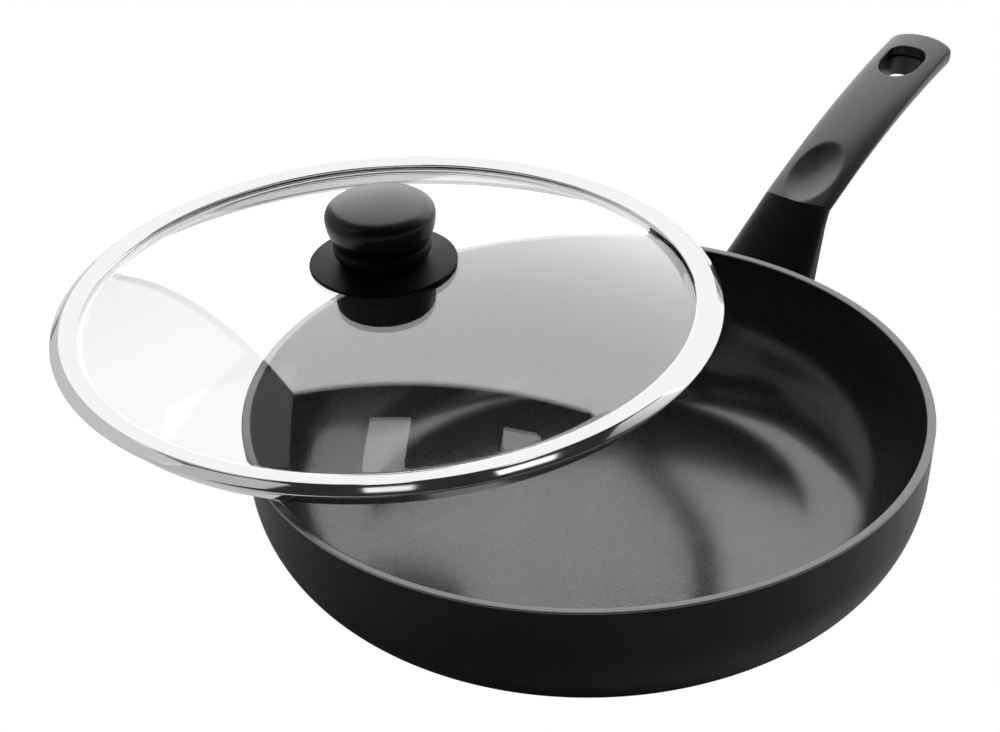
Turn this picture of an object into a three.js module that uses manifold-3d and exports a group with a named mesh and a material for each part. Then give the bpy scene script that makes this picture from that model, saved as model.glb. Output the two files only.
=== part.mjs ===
// A saute pan with a domed glass lid, in millimetres, +Z up.
// The origin is the centre of the base, on the surface that the pan stands on. The handle points along +X.
// The lid lies as it is put down while cooking: pushed to one side, its skirt resting across the pan's rim.

import * as THREE from 'three';
import { mergeVertices } from 'three/addons/utils/BufferGeometryUtils.js';
import Module from 'manifold-3d';

const wasm = await Module();
wasm.setup();

const degrees = THREE.MathUtils.degToRad;

// Gaps between pieces
const SEAT = 0.3; // between two pieces that touch
const PARTING = 0.35; // parting line between the neck and the grip

// Pan
const RIM_RADIUS = 140; // outside of the rim
const PAN_HEIGHT = 65; // rim above the surface that the pan stands on
const WALL = 3.6; // cast wall, and the width of the bare rim
const FLOOR = 4.5; // cast base
const WALL_LEAN = degrees(3.7); // how far the wall opens towards the rim
const CORNER_RADIUS = 47.7; // outside of the round corner between base and wall
const RIM_CHAMFER = 0.5;
const BASE_RING = 8; // ring of casting that shows round the steel disc
const DISC_THICKNESS = 1.2;

// Handle: places are measured from the rim, along the line down the middle of its upper side
const NECK_REACH = 37.2; // rim to the crease between neck and grip
const NECK_CLIMB = 11.8; // crease above the rim
const NECK_RISE = degrees(35.5);
const NECK_FLARE = 0.185; // growth of the half width for each millimetre towards the pan
const NECK_DEEPEN = 0.06; // growth of the depth above and below, in the same way
const NECK_OVERRUN = 18; // how far the neck's blank runs into the wall before it is scribed
const GRIP_REACH = 134.5; // crease to the end of the grip
const GRIP_CLIMB = 30.8;
const GRIP_RISE = degrees(20.2); // slope of the grip at the crease
const TIP_RISE = degrees(5.3); // and at its end
const GRIP_HALF_WIDTH = 16.4; // at the crease
const TIP_HALF_WIDTH = 15.7; // and at the end
const GRIP_ABOVE = 4.2; // upper side above the widest line
const GRIP_BELOW = 9; // belly below the widest line, at the crease
const TIP_BELOW = 12.5; // and at the end
const CREASE_BOW = 2.6; // middle of the crease towards the pan
const TIP_BOW = 3; // middle of the end edge, outwards
const TIP_ROUND = 2.6; // rounding of the end edge
const GRIP_START_PULL = 0.32; // share of the grip in which it keeps its slope at the crease
const GRIP_END_PULL = 0.33; // and its slope at the end
const MITRE_RUN = 0.12; // share of the grip in which the joint's slope turns into the grip's own
// How boxy the cross-sections are, 2 being an ellipse: a crowned upper side, and a belly that is keen
// at the crease, fuller at the end and almost a box at the pan.
const SQUARENESS = { upper: 2.6, crease: 1.5, tip: 2.4, root: 4 };

// Thumb dimple and hanging hole in the grip
const DIMPLE_FROM_CREASE = 20.7;
const DIMPLE_HALF_LENGTH = 20.3;
const DIMPLE_HALF_WIDTH = 11;
const DIMPLE_DEPTH = 3.2;
const DIMPLE_BALL = 8; // half height of the ball that presses the dimple
const HOLE_SETBACK = 14.8; // end of the grip to the hole's straight edge
const HOLE_LENGTH = 26.3;
const HOLE_STRAIGHT = 13.2; // part of it that is as wide as it gets, with its corners
const HOLE_HALF_WIDTH = 9.6;
const HOLE_CORNER = 7;

// Tang of the neck inside the grip, and its screw
const TANG_LENGTH = 38;
const TANG_WIDTH = 12;
const TANG_DEPTH = 4.2;
const TANG_RISE = degrees(18.5);
const TANG_DROP = 4.9; // top of the tang below the upper side
const TANG_ROOT = 5; // part of the tang that is buried in the neck
const GRIP_SCREW_FROM_CREASE = 24;
const GRIP_SCREW_RADIUS = 1.5;
const GRIP_SCREW_HEAD = 3.1;
const GRIP_SCREW_HEAD_HEIGHT = 1.5;
const GRIP_SCREW_GRASP = 3.2; // length in the tang
const GRIP_SCREW_WEB = 1.3; // wall of the grip between the tang and the screw's head

// Stud on the pan's wall, and the screw that draws the neck against the wall
const STUD_DROP = 22; // axis below the rim
const STUD_RADIUS = 4.5;
const STUD_REACH = 7; // end of the stud beyond the rim
const STUD_THREAD = 6; // depth of the threaded hole
const NECK_WEB = 3.7; // wall of the neck between the stud and the screw's head
const NECK_SCREW_RADIUS = 2.2;
const NECK_SCREW_HEAD = 4.2;
const NECK_SCREW_HEAD_HEIGHT = 3;
const NECK_WASHER_RADIUS = 4.6;
const NECK_WASHER_THICKNESS = 0.9;

// Lid: heights are measured from the skirt's lower edge
const LID_OVERHANG = 4; // outer edge of the lid beyond the pan's rim
const SKIRT_CLEARANCE = 1; // skirt inside the pan's mouth
const SKIRT_DEPTH = 9.45; // outer edge above the skirt's lower edge
const BEVEL_WIDTH = 3.8; // bevel between the outer edge and the flat band
const BEVEL_HEIGHT = 3;
const BAND_WIDTH = 8.2; // flat band on top, with its lip
const BAND_FALL = 0.5; // inner side of the band below its outer side
const LIP_WIDTH = 1.2; // inner edge of the band, turned down towards the glass
const LIP_FALL = 0.8;
const NOSE_INSET = 0.6; // rolled edge below the outer edge
const NOSE_DROP = 1.2;
const STRIP = 0.8; // sheet of the rim
const GLASS = 3.6;
const GLASS_BITE = 5.6; // flat brim of the glass held inside the rim
const BRIM_SHOW = 2; // flat brim of the glass inside the band
const CROWN = 23; // top of the glass above the outer edge
const GLASS_HOLE = 4.2; // radius of the hole for the knob's screw

// How the lid lies on the pan
const LID_OFFSET = 105.8; // lid's middle from the pan's middle
const LID_BEARING = degrees(85.8); // direction of that offset, from the handle
const LID_TILT = degrees(1.2); // outboard side down

// Knob: heights are measured from the top of the glass
const FLANGE_RADIUS = 31.5;
const FLANGE_EDGE = 1.5;
const COLLAR_RADIUS = 20.9;
const COLLAR_WAIST = 17; // where the collar springs from the flange
const COLLAR_FOOT = 2.6; // height of the waist
const COLLAR_TOP = 10.4;
const HEAD_FOOT_RADIUS = 20.3;
const HEAD_RADIUS = 23.5;
const HEAD_WIDEST = 21.5; // height of the widest line
const HEAD_SHOULDER = 27; // height of the shoulder
const HEAD_SHOULDER_RADIUS = 19.3;
const HEAD_TOP = 29.4;
const SEAL_RADIUS = 9;
const SEAL_THICKNESS = 1.1;
const KNOB_SCREW_RADIUS = 2;
const KNOB_SCREW_HEAD = 4.2;
const KNOB_SCREW_HEAD_HEIGHT = 2.6;
const KNOB_WASHER_RADIUS = 7.5;
const KNOB_WASHER_THICKNESS = 1;
const INSERT_RADIUS = 5;
const INSERT_LENGTH = 11.5;
const INSERT_ROOF = 2; // closed end of the insert

// Fineness of the round forms
const BIG_STEPS = 64;
const KNOB_STEPS = 32;
const SMALL_STEPS = 20;
const ARC_STEPS = 8;
const SECTION_STEPS = 28;
const GRIP_STEPS = 15;
const NECK_STEPS = 6;
const ROUND_STEPS = 4;
const WELD = 1e-4; // vertices nearer than this are one

// Finishes
function finish(color, roughness, metalness) {
  return new THREE.MeshStandardMaterial({ color, roughness, metalness });
}
const lacquer = () => finish(0x161617, 0.5, 0.2);
const bakelite = () => finish(0x121213, 0.45, 0);
const softTouch = () => finish(0x2b2b2c, 0.6, 0);
const polishedSteel = () => finish(0xd8d8da, 0.12, 1);
const brushedSteel = () => finish(0xb4b4b6, 0.35, 1);
const plainSteel = () => finish(0x9a9a9c, 0.4, 1);
const brass = () => finish(0xb89a55, 0.35, 1);
const silicone = () => finish(0xd9d9d6, 0.7, 0);

function clearGlass() {
  const material = finish(0xf4f8f7, 0.03, 0);
  material.transparent = true;
  material.opacity = 0.25;
  return material;
}

// Turns a profile of [radius, height] pairs about the Z axis. A profile runs out along the bottom, up the
// outside and back along the top.
function revolve(profile, steps) {
  const points = profile.map(([radius, height]) => new THREE.Vector2(radius, height));
  return new THREE.LatheGeometry(points, steps).rotateX(Math.PI / 2);
}

function revolveRing(profile, steps) {
  return revolve([...profile, profile[0]], steps);
}

function tube(inner, outer, low, high, steps) {
  return revolveRing([[inner, low], [outer, low], [outer, high], [inner, high]], steps);
}

function rod(radius, low, high, steps = SMALL_STEPS) {
  return revolve([[0, low], [radius, low], [radius, high], [0, high]], steps);
}

// A pan-head screw on the Z axis: the head's seat is at height 0, with the shank above it and the head below.
function screw(shankRadius, shankLength, headRadius, headHeight) {
  const edge = headHeight / 3;
  return revolve([
    [0, -headHeight], [headRadius - edge, -headHeight], [headRadius, -headHeight + edge], [headRadius, 0],
    [shankRadius, 0], [shankRadius, shankLength - shankRadius / 2], [shankRadius / 2, shankLength],
    [0, shankLength],
  ], SMALL_STEPS);
}

function curvePoints(path, steps = ARC_STEPS) {
  return path.getPoints(steps).map((point) => [point.x, point.y]);
}

// Booleans
function toSolid(geometry) {
  const bare = geometry.clone();
  bare.deleteAttribute('normal');
  bare.deleteAttribute('uv');
  const welded = mergeVertices(bare, WELD);
  const corners = welded.index.array;
  const triangles = [];
  for (let i = 0; i < corners.length; i += 3) {
    const [a, b, c] = corners.slice(i, i + 3);
    if (a !== b && b !== c && c !== a) triangles.push(a, b, c);
  }
  return new wasm.Manifold(new wasm.Mesh({
    numProp: 3,
    vertProperties: Float32Array.from(welded.attributes.position.array),
    triVerts: Uint32Array.from(triangles),
  }));
}

function toGeometry(solid) {
  const mesh = solid.getMesh();
  const geometry = new THREE.BufferGeometry();
  geometry.setAttribute('position', new THREE.BufferAttribute(Float32Array.from(mesh.vertProperties), 3));
  geometry.setIndex(Array.from(mesh.triVerts));
  geometry.computeVertexNormals();
  return geometry;
}

function cut(geometry, ...cutters) {
  const solid = cutters.reduce((rest, cutter) => rest.subtract(toSolid(cutter)), toSolid(geometry));
  return toGeometry(solid);
}

function join(first, second) {
  return toGeometry(toSolid(first).add(toSolid(second)));
}

function addPiece(group, name, geometry, material) {
  const mesh = new THREE.Mesh(geometry, material);
  mesh.name = name;
  group.add(mesh);
  return mesh;
}

// Pan

function cornerCentre(rimRadius, arcHeight, corner) {
  return rimRadius - (PAN_HEIGHT - arcHeight) * Math.tan(WALL_LEAN) - corner / Math.cos(WALL_LEAN);
}

// One face of the wall, from the flat of the base up to the rim: a corner arc that runs into a leaning line.
function wallFace(rimRadius, baseHeight, corner) {
  const arcHeight = baseHeight + corner;
  const centre = cornerCentre(rimRadius, arcHeight, corner);
  const arc = new THREE.Path().absarc(centre, arcHeight, corner, -Math.PI / 2, -WALL_LEAN);
  return curvePoints(arc, ARC_STEPS / 2);
}

const BASE_RADIUS = cornerCentre(RIM_RADIUS, CORNER_RADIUS, CORNER_RADIUS);
const DISC_RADIUS = BASE_RADIUS - BASE_RING;

function panBody() {
  const pocketTop = DISC_THICKNESS + SEAT;
  const pocketRadius = DISC_RADIUS + SEAT;
  const mouth = RIM_RADIUS - WALL;
  return revolve([
    [0, pocketTop], [pocketRadius, pocketTop], [pocketRadius, 0],
    ...wallFace(RIM_RADIUS, 0, CORNER_RADIUS),
    [RIM_RADIUS, PAN_HEIGHT - RIM_CHAMFER], [RIM_RADIUS - RIM_CHAMFER, PAN_HEIGHT],
    [mouth + RIM_CHAMFER, PAN_HEIGHT], [mouth, PAN_HEIGHT - RIM_CHAMFER],
    ...wallFace(mouth, FLOOR, CORNER_RADIUS - WALL).reverse(),
    [0, FLOOR],
  ], BIG_STEPS);
}

function inductionDisc() {
  const edge = DISC_THICKNESS / 3;
  return revolve([
    [0, 0], [DISC_RADIUS - edge, 0], [DISC_RADIUS, edge], [DISC_RADIUS, DISC_THICKNESS], [0, DISC_THICKNESS],
  ], BIG_STEPS);
}

// Cuts a piece to the outside of the pan's wall, a seat's gap away from it.
function scribe(geometry) {
  const radius = RIM_RADIUS + SEAT / Math.cos(WALL_LEAN);
  const clear = 2 * PAN_HEIGHT; // higher than anything that meets the wall
  const envelope = revolve([
    [0, -SEAT],
    ...wallFace(radius, -SEAT, CORNER_RADIUS + SEAT),
    [radius, PAN_HEIGHT], [radius, clear], [0, clear],
  ], BIG_STEPS);
  return cut(geometry, envelope);
}

// Handle

const CREASE = new THREE.Vector2(RIM_RADIUS + NECK_REACH, PAN_HEIGHT + NECK_CLIMB);
const TIP = new THREE.Vector2(CREASE.x + GRIP_REACH, CREASE.y + GRIP_CLIMB);
const MITRE = (NECK_RISE + GRIP_RISE) / 2; // slope of the joint between neck and grip
const HANDLE_DEPTH = 2 * (GRIP_ABOVE + TIP_BELOW); // deeper than any part of the grip

const along = (slope, length) => new THREE.Vector2(Math.cos(slope), Math.sin(slope)).multiplyScalar(length);

// The line down the middle of the grip's upper side.
const gripLine = new THREE.CubicBezierCurve(
  CREASE,
  CREASE.clone().add(along(GRIP_RISE, GRIP_REACH * GRIP_START_PULL)),
  TIP.clone().sub(along(TIP_RISE, GRIP_REACH * GRIP_END_PULL)),
  TIP,
);

// One cross-section of the handle: a flat upper side, rounded shoulders and a belly.
function sectionRing({ place, slope, halfWidth, above, below, squareness, inset = 0, bow }) {
  const ring = [];
  for (let i = 0; i < SECTION_STEPS; i += 1) {
    const angle = (2 * Math.PI * i) / SECTION_STEPS;
    const sideways = Math.cos(angle);
    const upwards = Math.sin(angle);
    const upper = upwards > 0;
    const power = 2 / (upper ? SQUARENESS.upper : squareness);
    const reach = (upper ? above : below) - inset;
    const across = (halfWidth - inset) * Math.sign(sideways) * Math.abs(sideways) ** power;
    const up = reach * Math.sign(upwards) * Math.abs(upwards) ** power - above;
    const ahead = -bow * (across / halfWidth) ** 2;
    const x = place.x + Math.cos(slope) * ahead - Math.sin(slope) * up;
    const z = place.y + Math.sin(slope) * ahead + Math.cos(slope) * up;
    ring.push(new THREE.Vector3(x, across, z));
  }
  return ring;
}

// A closed skin over a row of sections, with a fan of triangles at each end.
function loft(stations) {
  const rings = stations.map(sectionRing);
  const middle = (ring) => {
    const sum = ring.reduce((total, point) => total.add(point), new THREE.Vector3());
    return sum.divideScalar(ring.length);
  };
  const vertices = [...rings.flat(), middle(rings[0]), middle(rings.at(-1))];
  const startMiddle = vertices.length - 2;
  const endMiddle = vertices.length - 1;
  const triangles = [];
  const lastRing = (rings.length - 1) * SECTION_STEPS;
  for (let j = 0; j < SECTION_STEPS; j += 1) {
    const next = (j + 1) % SECTION_STEPS;
    triangles.push(startMiddle, next, j, endMiddle, lastRing + j, lastRing + next);
    for (let base = 0; base < lastRing; base += SECTION_STEPS) {
      const far = base + SECTION_STEPS;
      triangles.push(base + j, base + next, far + j, base + next, far + next, far + j);
    }
  }
  const geometry = new THREE.BufferGeometry().setFromPoints(vertices);
  geometry.setIndex(triangles);
  geometry.computeVertexNormals();
  return geometry;
}

const mix = THREE.MathUtils.lerp;

function gripStations() {
  const length = gripLine.getLength();
  const stations = [];
  const add = (t, inset) => {
    const tangent = gripLine.getTangentAt(t);
    const ownSlope = Math.atan2(tangent.y, tangent.x);
    stations.push({
      place: gripLine.getPointAt(t),
      slope: mix(MITRE, ownSlope, Math.min(t / MITRE_RUN, 1)),
      halfWidth: mix(GRIP_HALF_WIDTH, TIP_HALF_WIDTH, t),
      above: GRIP_ABOVE,
      below: mix(GRIP_BELOW, TIP_BELOW, t),
      squareness: mix(SQUARENESS.crease, SQUARENESS.tip, t),
      inset,
      bow: mix(-CREASE_BOW, TIP_BOW, t),
    });
  };
  const start = PARTING / length;
  const roundStart = 1 - TIP_ROUND / length;
  for (let i = 0; i <= GRIP_STEPS; i += 1) add(mix(start, roundStart, i / GRIP_STEPS), 0);
  for (let i = 1; i <= ROUND_STEPS; i += 1) {
    const angle = (Math.PI / 2) * (i / ROUND_STEPS);
    add(mix(roundStart, 1, Math.sin(angle)), TIP_ROUND * (1 - Math.cos(angle)));
  }
  return stations;
}

function neckStations() {
  const toWall = NECK_REACH / Math.cos(NECK_RISE);
  const length = toWall + NECK_OVERRUN / Math.cos(NECK_RISE);
  const stations = [];
  for (let i = 0; i <= NECK_STEPS; i += 1) {
    const back = length * (1 - i / NECK_STEPS);
    const atCrease = i === NECK_STEPS;
    stations.push({
      place: CREASE.clone().sub(along(NECK_RISE, back)),
      slope: atCrease ? MITRE : NECK_RISE,
      halfWidth: GRIP_HALF_WIDTH + NECK_FLARE * back,
      above: GRIP_ABOVE + NECK_DEEPEN * back,
      below: GRIP_BELOW + NECK_DEEPEN * back,
      squareness: mix(SQUARENESS.crease, SQUARENESS.root, Math.min(back / toWall, 1)),
      bow: atCrease ? -CREASE_BOW : 0,
    });
  }
  return stations;
}

// Frames for what lies along the handle: x along it, z out of its upper side.
const tangFrame = new THREE.Matrix4().makeRotationY(-TANG_RISE).setPosition(CREASE.x, 0, CREASE.y);
const tipFrame = new THREE.Matrix4().makeRotationY(-TIP_RISE).setPosition(TIP.x, 0, TIP.y);

function tang(gap) {
  const from = gap ? -GRIP_ABOVE : -TANG_ROOT;
  const to = TANG_LENGTH + gap;
  const bar = new THREE.BoxGeometry(to - from, TANG_WIDTH + 2 * gap, TANG_DEPTH + 2 * gap);
  return bar.translate((from + to) / 2, 0, -TANG_DROP - TANG_DEPTH / 2).applyMatrix4(tangFrame);
}

const TANG_UNDERSIDE = TANG_DROP + TANG_DEPTH;
const GRIP_SCREW_SEAT = TANG_UNDERSIDE + SEAT + GRIP_SCREW_WEB; // head's seat below the upper side

function gripScrewHole(radius, low, high) {
  return rod(radius, -low, -high).translate(GRIP_SCREW_FROM_CREASE, 0, 0).applyMatrix4(tangFrame);
}

function dimpleBall() {
  const lift = DIMPLE_BALL - DIMPLE_DEPTH;
  const spread = 1 / Math.sqrt(1 - (lift / DIMPLE_BALL) ** 2);
  const ball = new THREE.SphereGeometry(1, SECTION_STEPS, SECTION_STEPS / 2);
  ball.scale(DIMPLE_HALF_LENGTH * spread, DIMPLE_HALF_WIDTH * spread, DIMPLE_BALL);
  return ball.translate(DIMPLE_FROM_CREASE, 0, lift).applyMatrix4(tangFrame);
}

// The hanging hole: straight towards the end of the grip, round towards the pan.
function hangingHole() {
  const outline = new THREE.Shape();
  const outer = -HOLE_SETBACK;
  const roundMiddle = outer - HOLE_STRAIGHT;
  const roundReach = HOLE_LENGTH - HOLE_STRAIGHT;
  outline.moveTo(roundMiddle, -HOLE_HALF_WIDTH);
  outline.lineTo(outer - HOLE_CORNER, -HOLE_HALF_WIDTH);
  outline.absarc(outer - HOLE_CORNER, HOLE_CORNER - HOLE_HALF_WIDTH, HOLE_CORNER, -Math.PI / 2, 0);
  outline.absarc(outer - HOLE_CORNER, HOLE_HALF_WIDTH - HOLE_CORNER, HOLE_CORNER, 0, Math.PI / 2);
  outline.lineTo(roundMiddle, HOLE_HALF_WIDTH);
  outline.absellipse(roundMiddle, 0, roundReach, HOLE_HALF_WIDTH, Math.PI / 2, 1.5 * Math.PI);
  const depth = 2 * HANDLE_DEPTH;
  const plug = new THREE.ExtrudeGeometry(outline, { depth, bevelEnabled: false, curveSegments: ARC_STEPS });
  return plug.translate(0, 0, -depth / 2).applyMatrix4(tipFrame);
}

function handleGrip() {
  return cut(
    loft(gripStations()),
    dimpleBall(),
    hangingHole(),
    tang(SEAT),
    gripScrewHole(GRIP_SCREW_RADIUS + SEAT, GRIP_SCREW_SEAT + SEAT, TANG_UNDERSIDE),
    gripScrewHole(GRIP_SCREW_HEAD + SEAT, HANDLE_DEPTH, GRIP_SCREW_SEAT),
  );
}

// Everything on the stud's axis is turned about +X at the stud's height.
const STUD_HEIGHT = PAN_HEIGHT - STUD_DROP;
const STUD_END = RIM_RADIUS + STUD_REACH;
const NECK_SCREW_SEAT = STUD_END + SEAT + NECK_WEB;

function onStudAxis(geometry) {
  return geometry.rotateY(Math.PI / 2).translate(0, 0, STUD_HEIGHT);
}

function handleStud() {
  const start = RIM_RADIUS - NECK_OVERRUN;
  const bore = NECK_SCREW_RADIUS + SEAT;
  const chamfer = STUD_RADIUS / 8;
  return scribe(onStudAxis(revolve([
    [0, start], [STUD_RADIUS, start], [STUD_RADIUS, STUD_END - chamfer], [STUD_RADIUS - chamfer, STUD_END],
    [bore, STUD_END], [bore, STUD_END - STUD_THREAD], [0, STUD_END - STUD_THREAD],
  ], SMALL_STEPS)));
}

function handleNeck() {
  const blank = join(loft(neckStations()), tang(0));
  const start = RIM_RADIUS - 2 * NECK_OVERRUN;
  return cut(
    scribe(blank),
    onStudAxis(rod(STUD_RADIUS + SEAT, start, STUD_END + SEAT)),
    onStudAxis(rod(NECK_SCREW_RADIUS + SEAT, start, NECK_SCREW_SEAT + SEAT)),
    onStudAxis(rod(NECK_WASHER_RADIUS + 2 * SEAT, NECK_SCREW_SEAT, CREASE.x + NECK_REACH)),
    gripScrewHole(GRIP_SCREW_RADIUS + SEAT, GRIP_SCREW_SEAT, TANG_UNDERSIDE - GRIP_SCREW_GRASP - SEAT),
  );
}

function neckScrew() {
  const seat = NECK_SCREW_SEAT + SEAT + NECK_WASHER_THICKNESS + SEAT;
  const length = seat - (STUD_END - STUD_THREAD) - SEAT;
  const turned = screw(NECK_SCREW_RADIUS, length, NECK_SCREW_HEAD, NECK_SCREW_HEAD_HEIGHT);
  return onStudAxis(turned.rotateX(Math.PI).translate(0, 0, seat));
}

function neckWasher() {
  const low = NECK_SCREW_SEAT + SEAT;
  const inner = NECK_SCREW_RADIUS + SEAT;
  return onStudAxis(tube(inner, NECK_WASHER_RADIUS, low, low + NECK_WASHER_THICKNESS, SMALL_STEPS));
}

function gripScrew() {
  const length = GRIP_SCREW_WEB + 2 * SEAT + GRIP_SCREW_GRASP;
  const turned = screw(GRIP_SCREW_RADIUS, length, GRIP_SCREW_HEAD, GRIP_SCREW_HEAD_HEIGHT);
  return turned.translate(GRIP_SCREW_FROM_CREASE, 0, -GRIP_SCREW_SEAT - SEAT).applyMatrix4(tangFrame);
}

// Lid

const LID_RADIUS = RIM_RADIUS + LID_OVERHANG;
const SKIRT_RADIUS = RIM_RADIUS - WALL - SKIRT_CLEARANCE;
const BAND_OUTER = LID_RADIUS - BEVEL_WIDTH;
const BAND_INNER = BAND_OUTER - BAND_WIDTH;
const LIP_TOP = SKIRT_DEPTH + BEVEL_HEIGHT - BAND_FALL;
const LIP_LOW = LIP_TOP - LIP_FALL;
const BRIM_TOP = LIP_LOW - STRIP - SEAT;
const BRIM_BOTTOM = BRIM_TOP - GLASS;
const GLASS_RADIUS = BAND_INNER + GLASS_BITE;
const DOME_RADIUS = BAND_INNER - BRIM_SHOW; // where the dome springs from the brim
const DOME_TOP = SKIRT_DEPTH + CROWN;
const DOME_RISE = DOME_TOP - BRIM_TOP;
const DOME_BALL = (DOME_RADIUS ** 2 + DOME_RISE ** 2) / (2 * DOME_RISE);

// Height of the dome's upper side, or of its lower side, a glass thickness inside it.
function domeHeight(radius, inside = 0) {
  return DOME_TOP - DOME_BALL + Math.sqrt((DOME_BALL - inside) ** 2 - radius ** 2);
}

function domeLine(inside, outerRadius) {
  const points = [];
  for (let i = 0; i <= ARC_STEPS; i += 1) {
    const radius = mix(GLASS_HOLE, outerRadius, i / ARC_STEPS);
    points.push([radius, domeHeight(radius, inside)]);
  }
  return points;
}

function lidGlass() {
  const ballCentre = DOME_TOP - DOME_BALL;
  const innerSpring = Math.sqrt((DOME_BALL - GLASS) ** 2 - (BRIM_BOTTOM - ballCentre) ** 2);
  return revolveRing([
    ...domeLine(GLASS, innerSpring),
    [GLASS_RADIUS, BRIM_BOTTOM], [GLASS_RADIUS, BRIM_TOP],
    ...domeLine(0, DOME_RADIUS).reverse(),
  ], BIG_STEPS);
}

// The closed section of a bent strip: its outer face, and its thickness to the right of that.
function stripSection(face, thickness) {
  const points = face.map(([radius, height]) => new THREE.Vector2(radius, height));
  const rightOf = (from, to) => {
    const way = to.clone().sub(from).normalize();
    return new THREE.Vector2(way.y, -way.x);
  };
  const inner = points.map((point, i) => {
    const before = points[i - 1] ? rightOf(points[i - 1], point) : rightOf(point, points[i + 1]);
    const after = points[i + 1] ? rightOf(point, points[i + 1]) : before;
    const mitre = before.clone().add(after).divideScalar(1 + before.dot(after));
    return [point.x + mitre.x * thickness, point.y + mitre.y * thickness];
  });
  return [...inner, ...[...face].reverse()];
}

// The rim: lip, flat band, bevel, rolled nose, ledge under the glass and skirt, bent from one strip.
function lidRim() {
  const ledge = BRIM_BOTTOM - SEAT - STRIP;
  const ledgeOuter = GLASS_RADIUS + 2 * STRIP;
  return revolveRing(stripSection([
    [BAND_INNER, LIP_LOW], [BAND_INNER + LIP_WIDTH, LIP_TOP], [BAND_OUTER, SKIRT_DEPTH + BEVEL_HEIGHT],
    [LID_RADIUS, SKIRT_DEPTH], [LID_RADIUS - NOSE_INSET, SKIRT_DEPTH - NOSE_DROP],
    [ledgeOuter, ledge], [SKIRT_RADIUS, ledge], [SKIRT_RADIUS, 0],
  ], STRIP), BIG_STEPS);
}

// Knob

const SEAL_HOLE = KNOB_SCREW_RADIUS + SEAT;
const UPPER_SEAL_LOW = DOME_TOP + SEAT;
const KNOB_SEAT = UPPER_SEAL_LOW + SEAL_THICKNESS + SEAT;

function knobBase() {
  const edgeLow = domeHeight(FLANGE_RADIUS) + SEAT;
  const foot = DOME_TOP + COLLAR_FOOT;
  const top = DOME_TOP + COLLAR_TOP;
  const dish = new THREE.Path().moveTo(FLANGE_RADIUS, edgeLow + FLANGE_EDGE);
  dish.quadraticCurveTo(COLLAR_RADIUS, foot - FLANGE_EDGE / 2, COLLAR_WAIST, foot);
  const bulge = new THREE.Path().moveTo(COLLAR_WAIST, foot);
  const lip = top - FLANGE_EDGE;
  bulge.bezierCurveTo(COLLAR_RADIUS, foot + FLANGE_EDGE, COLLAR_RADIUS, (foot + top) / 2, COLLAR_RADIUS, lip);
  return revolveRing([
    [SEAL_HOLE, KNOB_SEAT], [SEAL_RADIUS, KNOB_SEAT], [FLANGE_RADIUS, edgeLow],
    ...curvePoints(dish, ARC_STEPS / 2),
    ...curvePoints(bulge, ARC_STEPS / 2).slice(1),
    [COLLAR_RADIUS - FLANGE_EDGE / 2, top], [SEAL_HOLE, top],
  ], KNOB_STEPS);
}

const HEAD_LOW = DOME_TOP + COLLAR_TOP + SEAT;

function knobHead() {
  const pocket = INSERT_RADIUS + SEAT;
  const pocketTop = HEAD_LOW + SEAT + INSERT_LENGTH + SEAT;
  const widest = DOME_TOP + HEAD_WIDEST;
  const shoulder = DOME_TOP + HEAD_SHOULDER;
  const top = DOME_TOP + HEAD_TOP;
  const side = new THREE.Path().moveTo(HEAD_FOOT_RADIUS, HEAD_LOW);
  side.quadraticCurveTo(HEAD_RADIUS, (HEAD_LOW + widest) / 2, HEAD_RADIUS, widest);
  const shoulderTurn = new THREE.Path().moveTo(HEAD_RADIUS, widest);
  shoulderTurn.quadraticCurveTo(HEAD_RADIUS, shoulder - (top - shoulder) / 2, HEAD_SHOULDER_RADIUS, shoulder);
  const crown = new THREE.Path().moveTo(HEAD_SHOULDER_RADIUS, shoulder);
  crown.quadraticCurveTo(HEAD_SHOULDER_RADIUS / 2, top, 0, top);
  return revolve([
    [0, pocketTop], [pocket, pocketTop], [pocket, HEAD_LOW],
    ...curvePoints(side, ARC_STEPS / 2),
    ...curvePoints(shoulderTurn, ARC_STEPS / 2).slice(1),
    ...curvePoints(crown, ARC_STEPS / 2).slice(1),
  ], KNOB_STEPS);
}

function knobInsert() {
  const low = HEAD_LOW + SEAT;
  const top = low + INSERT_LENGTH;
  const bore = KNOB_SCREW_RADIUS + SEAT;
  return revolve([
    [0, top - INSERT_ROOF], [bore, top - INSERT_ROOF], [bore, low],
    [INSERT_RADIUS, low], [INSERT_RADIUS, top], [0, top],
  ], SMALL_STEPS);
}

const LOWER_SEAL_TOP = domeHeight(SEAL_RADIUS, GLASS) - SEAT;
const KNOB_WASHER_TOP = LOWER_SEAL_TOP - SEAL_THICKNESS - SEAT;

function knobScrew() {
  const seat = KNOB_WASHER_TOP - KNOB_WASHER_THICKNESS - SEAT;
  const end = HEAD_LOW + SEAT + INSERT_LENGTH - INSERT_ROOF - SEAT;
  return screw(KNOB_SCREW_RADIUS, end - seat, KNOB_SCREW_HEAD, KNOB_SCREW_HEAD_HEIGHT).translate(0, 0, seat);
}

// The rest pose: where the skirt crosses the rim, its lower edge is a seat above it at the lowest point.
function restLid(lid) {
  const skirtInner = SKIRT_RADIUS - STRIP;
  const crossing = (RIM_RADIUS ** 2 - skirtInner ** 2 + LID_OFFSET ** 2) / (2 * LID_OFFSET);
  const height = PAN_HEIGHT + SEAT - Math.tan(LID_TILT) * (LID_OFFSET - crossing);
  lid.position.set(LID_OFFSET * Math.cos(LID_BEARING), LID_OFFSET * Math.sin(LID_BEARING), height);
  lid.setRotationFromAxisAngle(new THREE.Vector3(-Math.sin(LID_BEARING), Math.cos(LID_BEARING), 0), LID_TILT);
}

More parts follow.
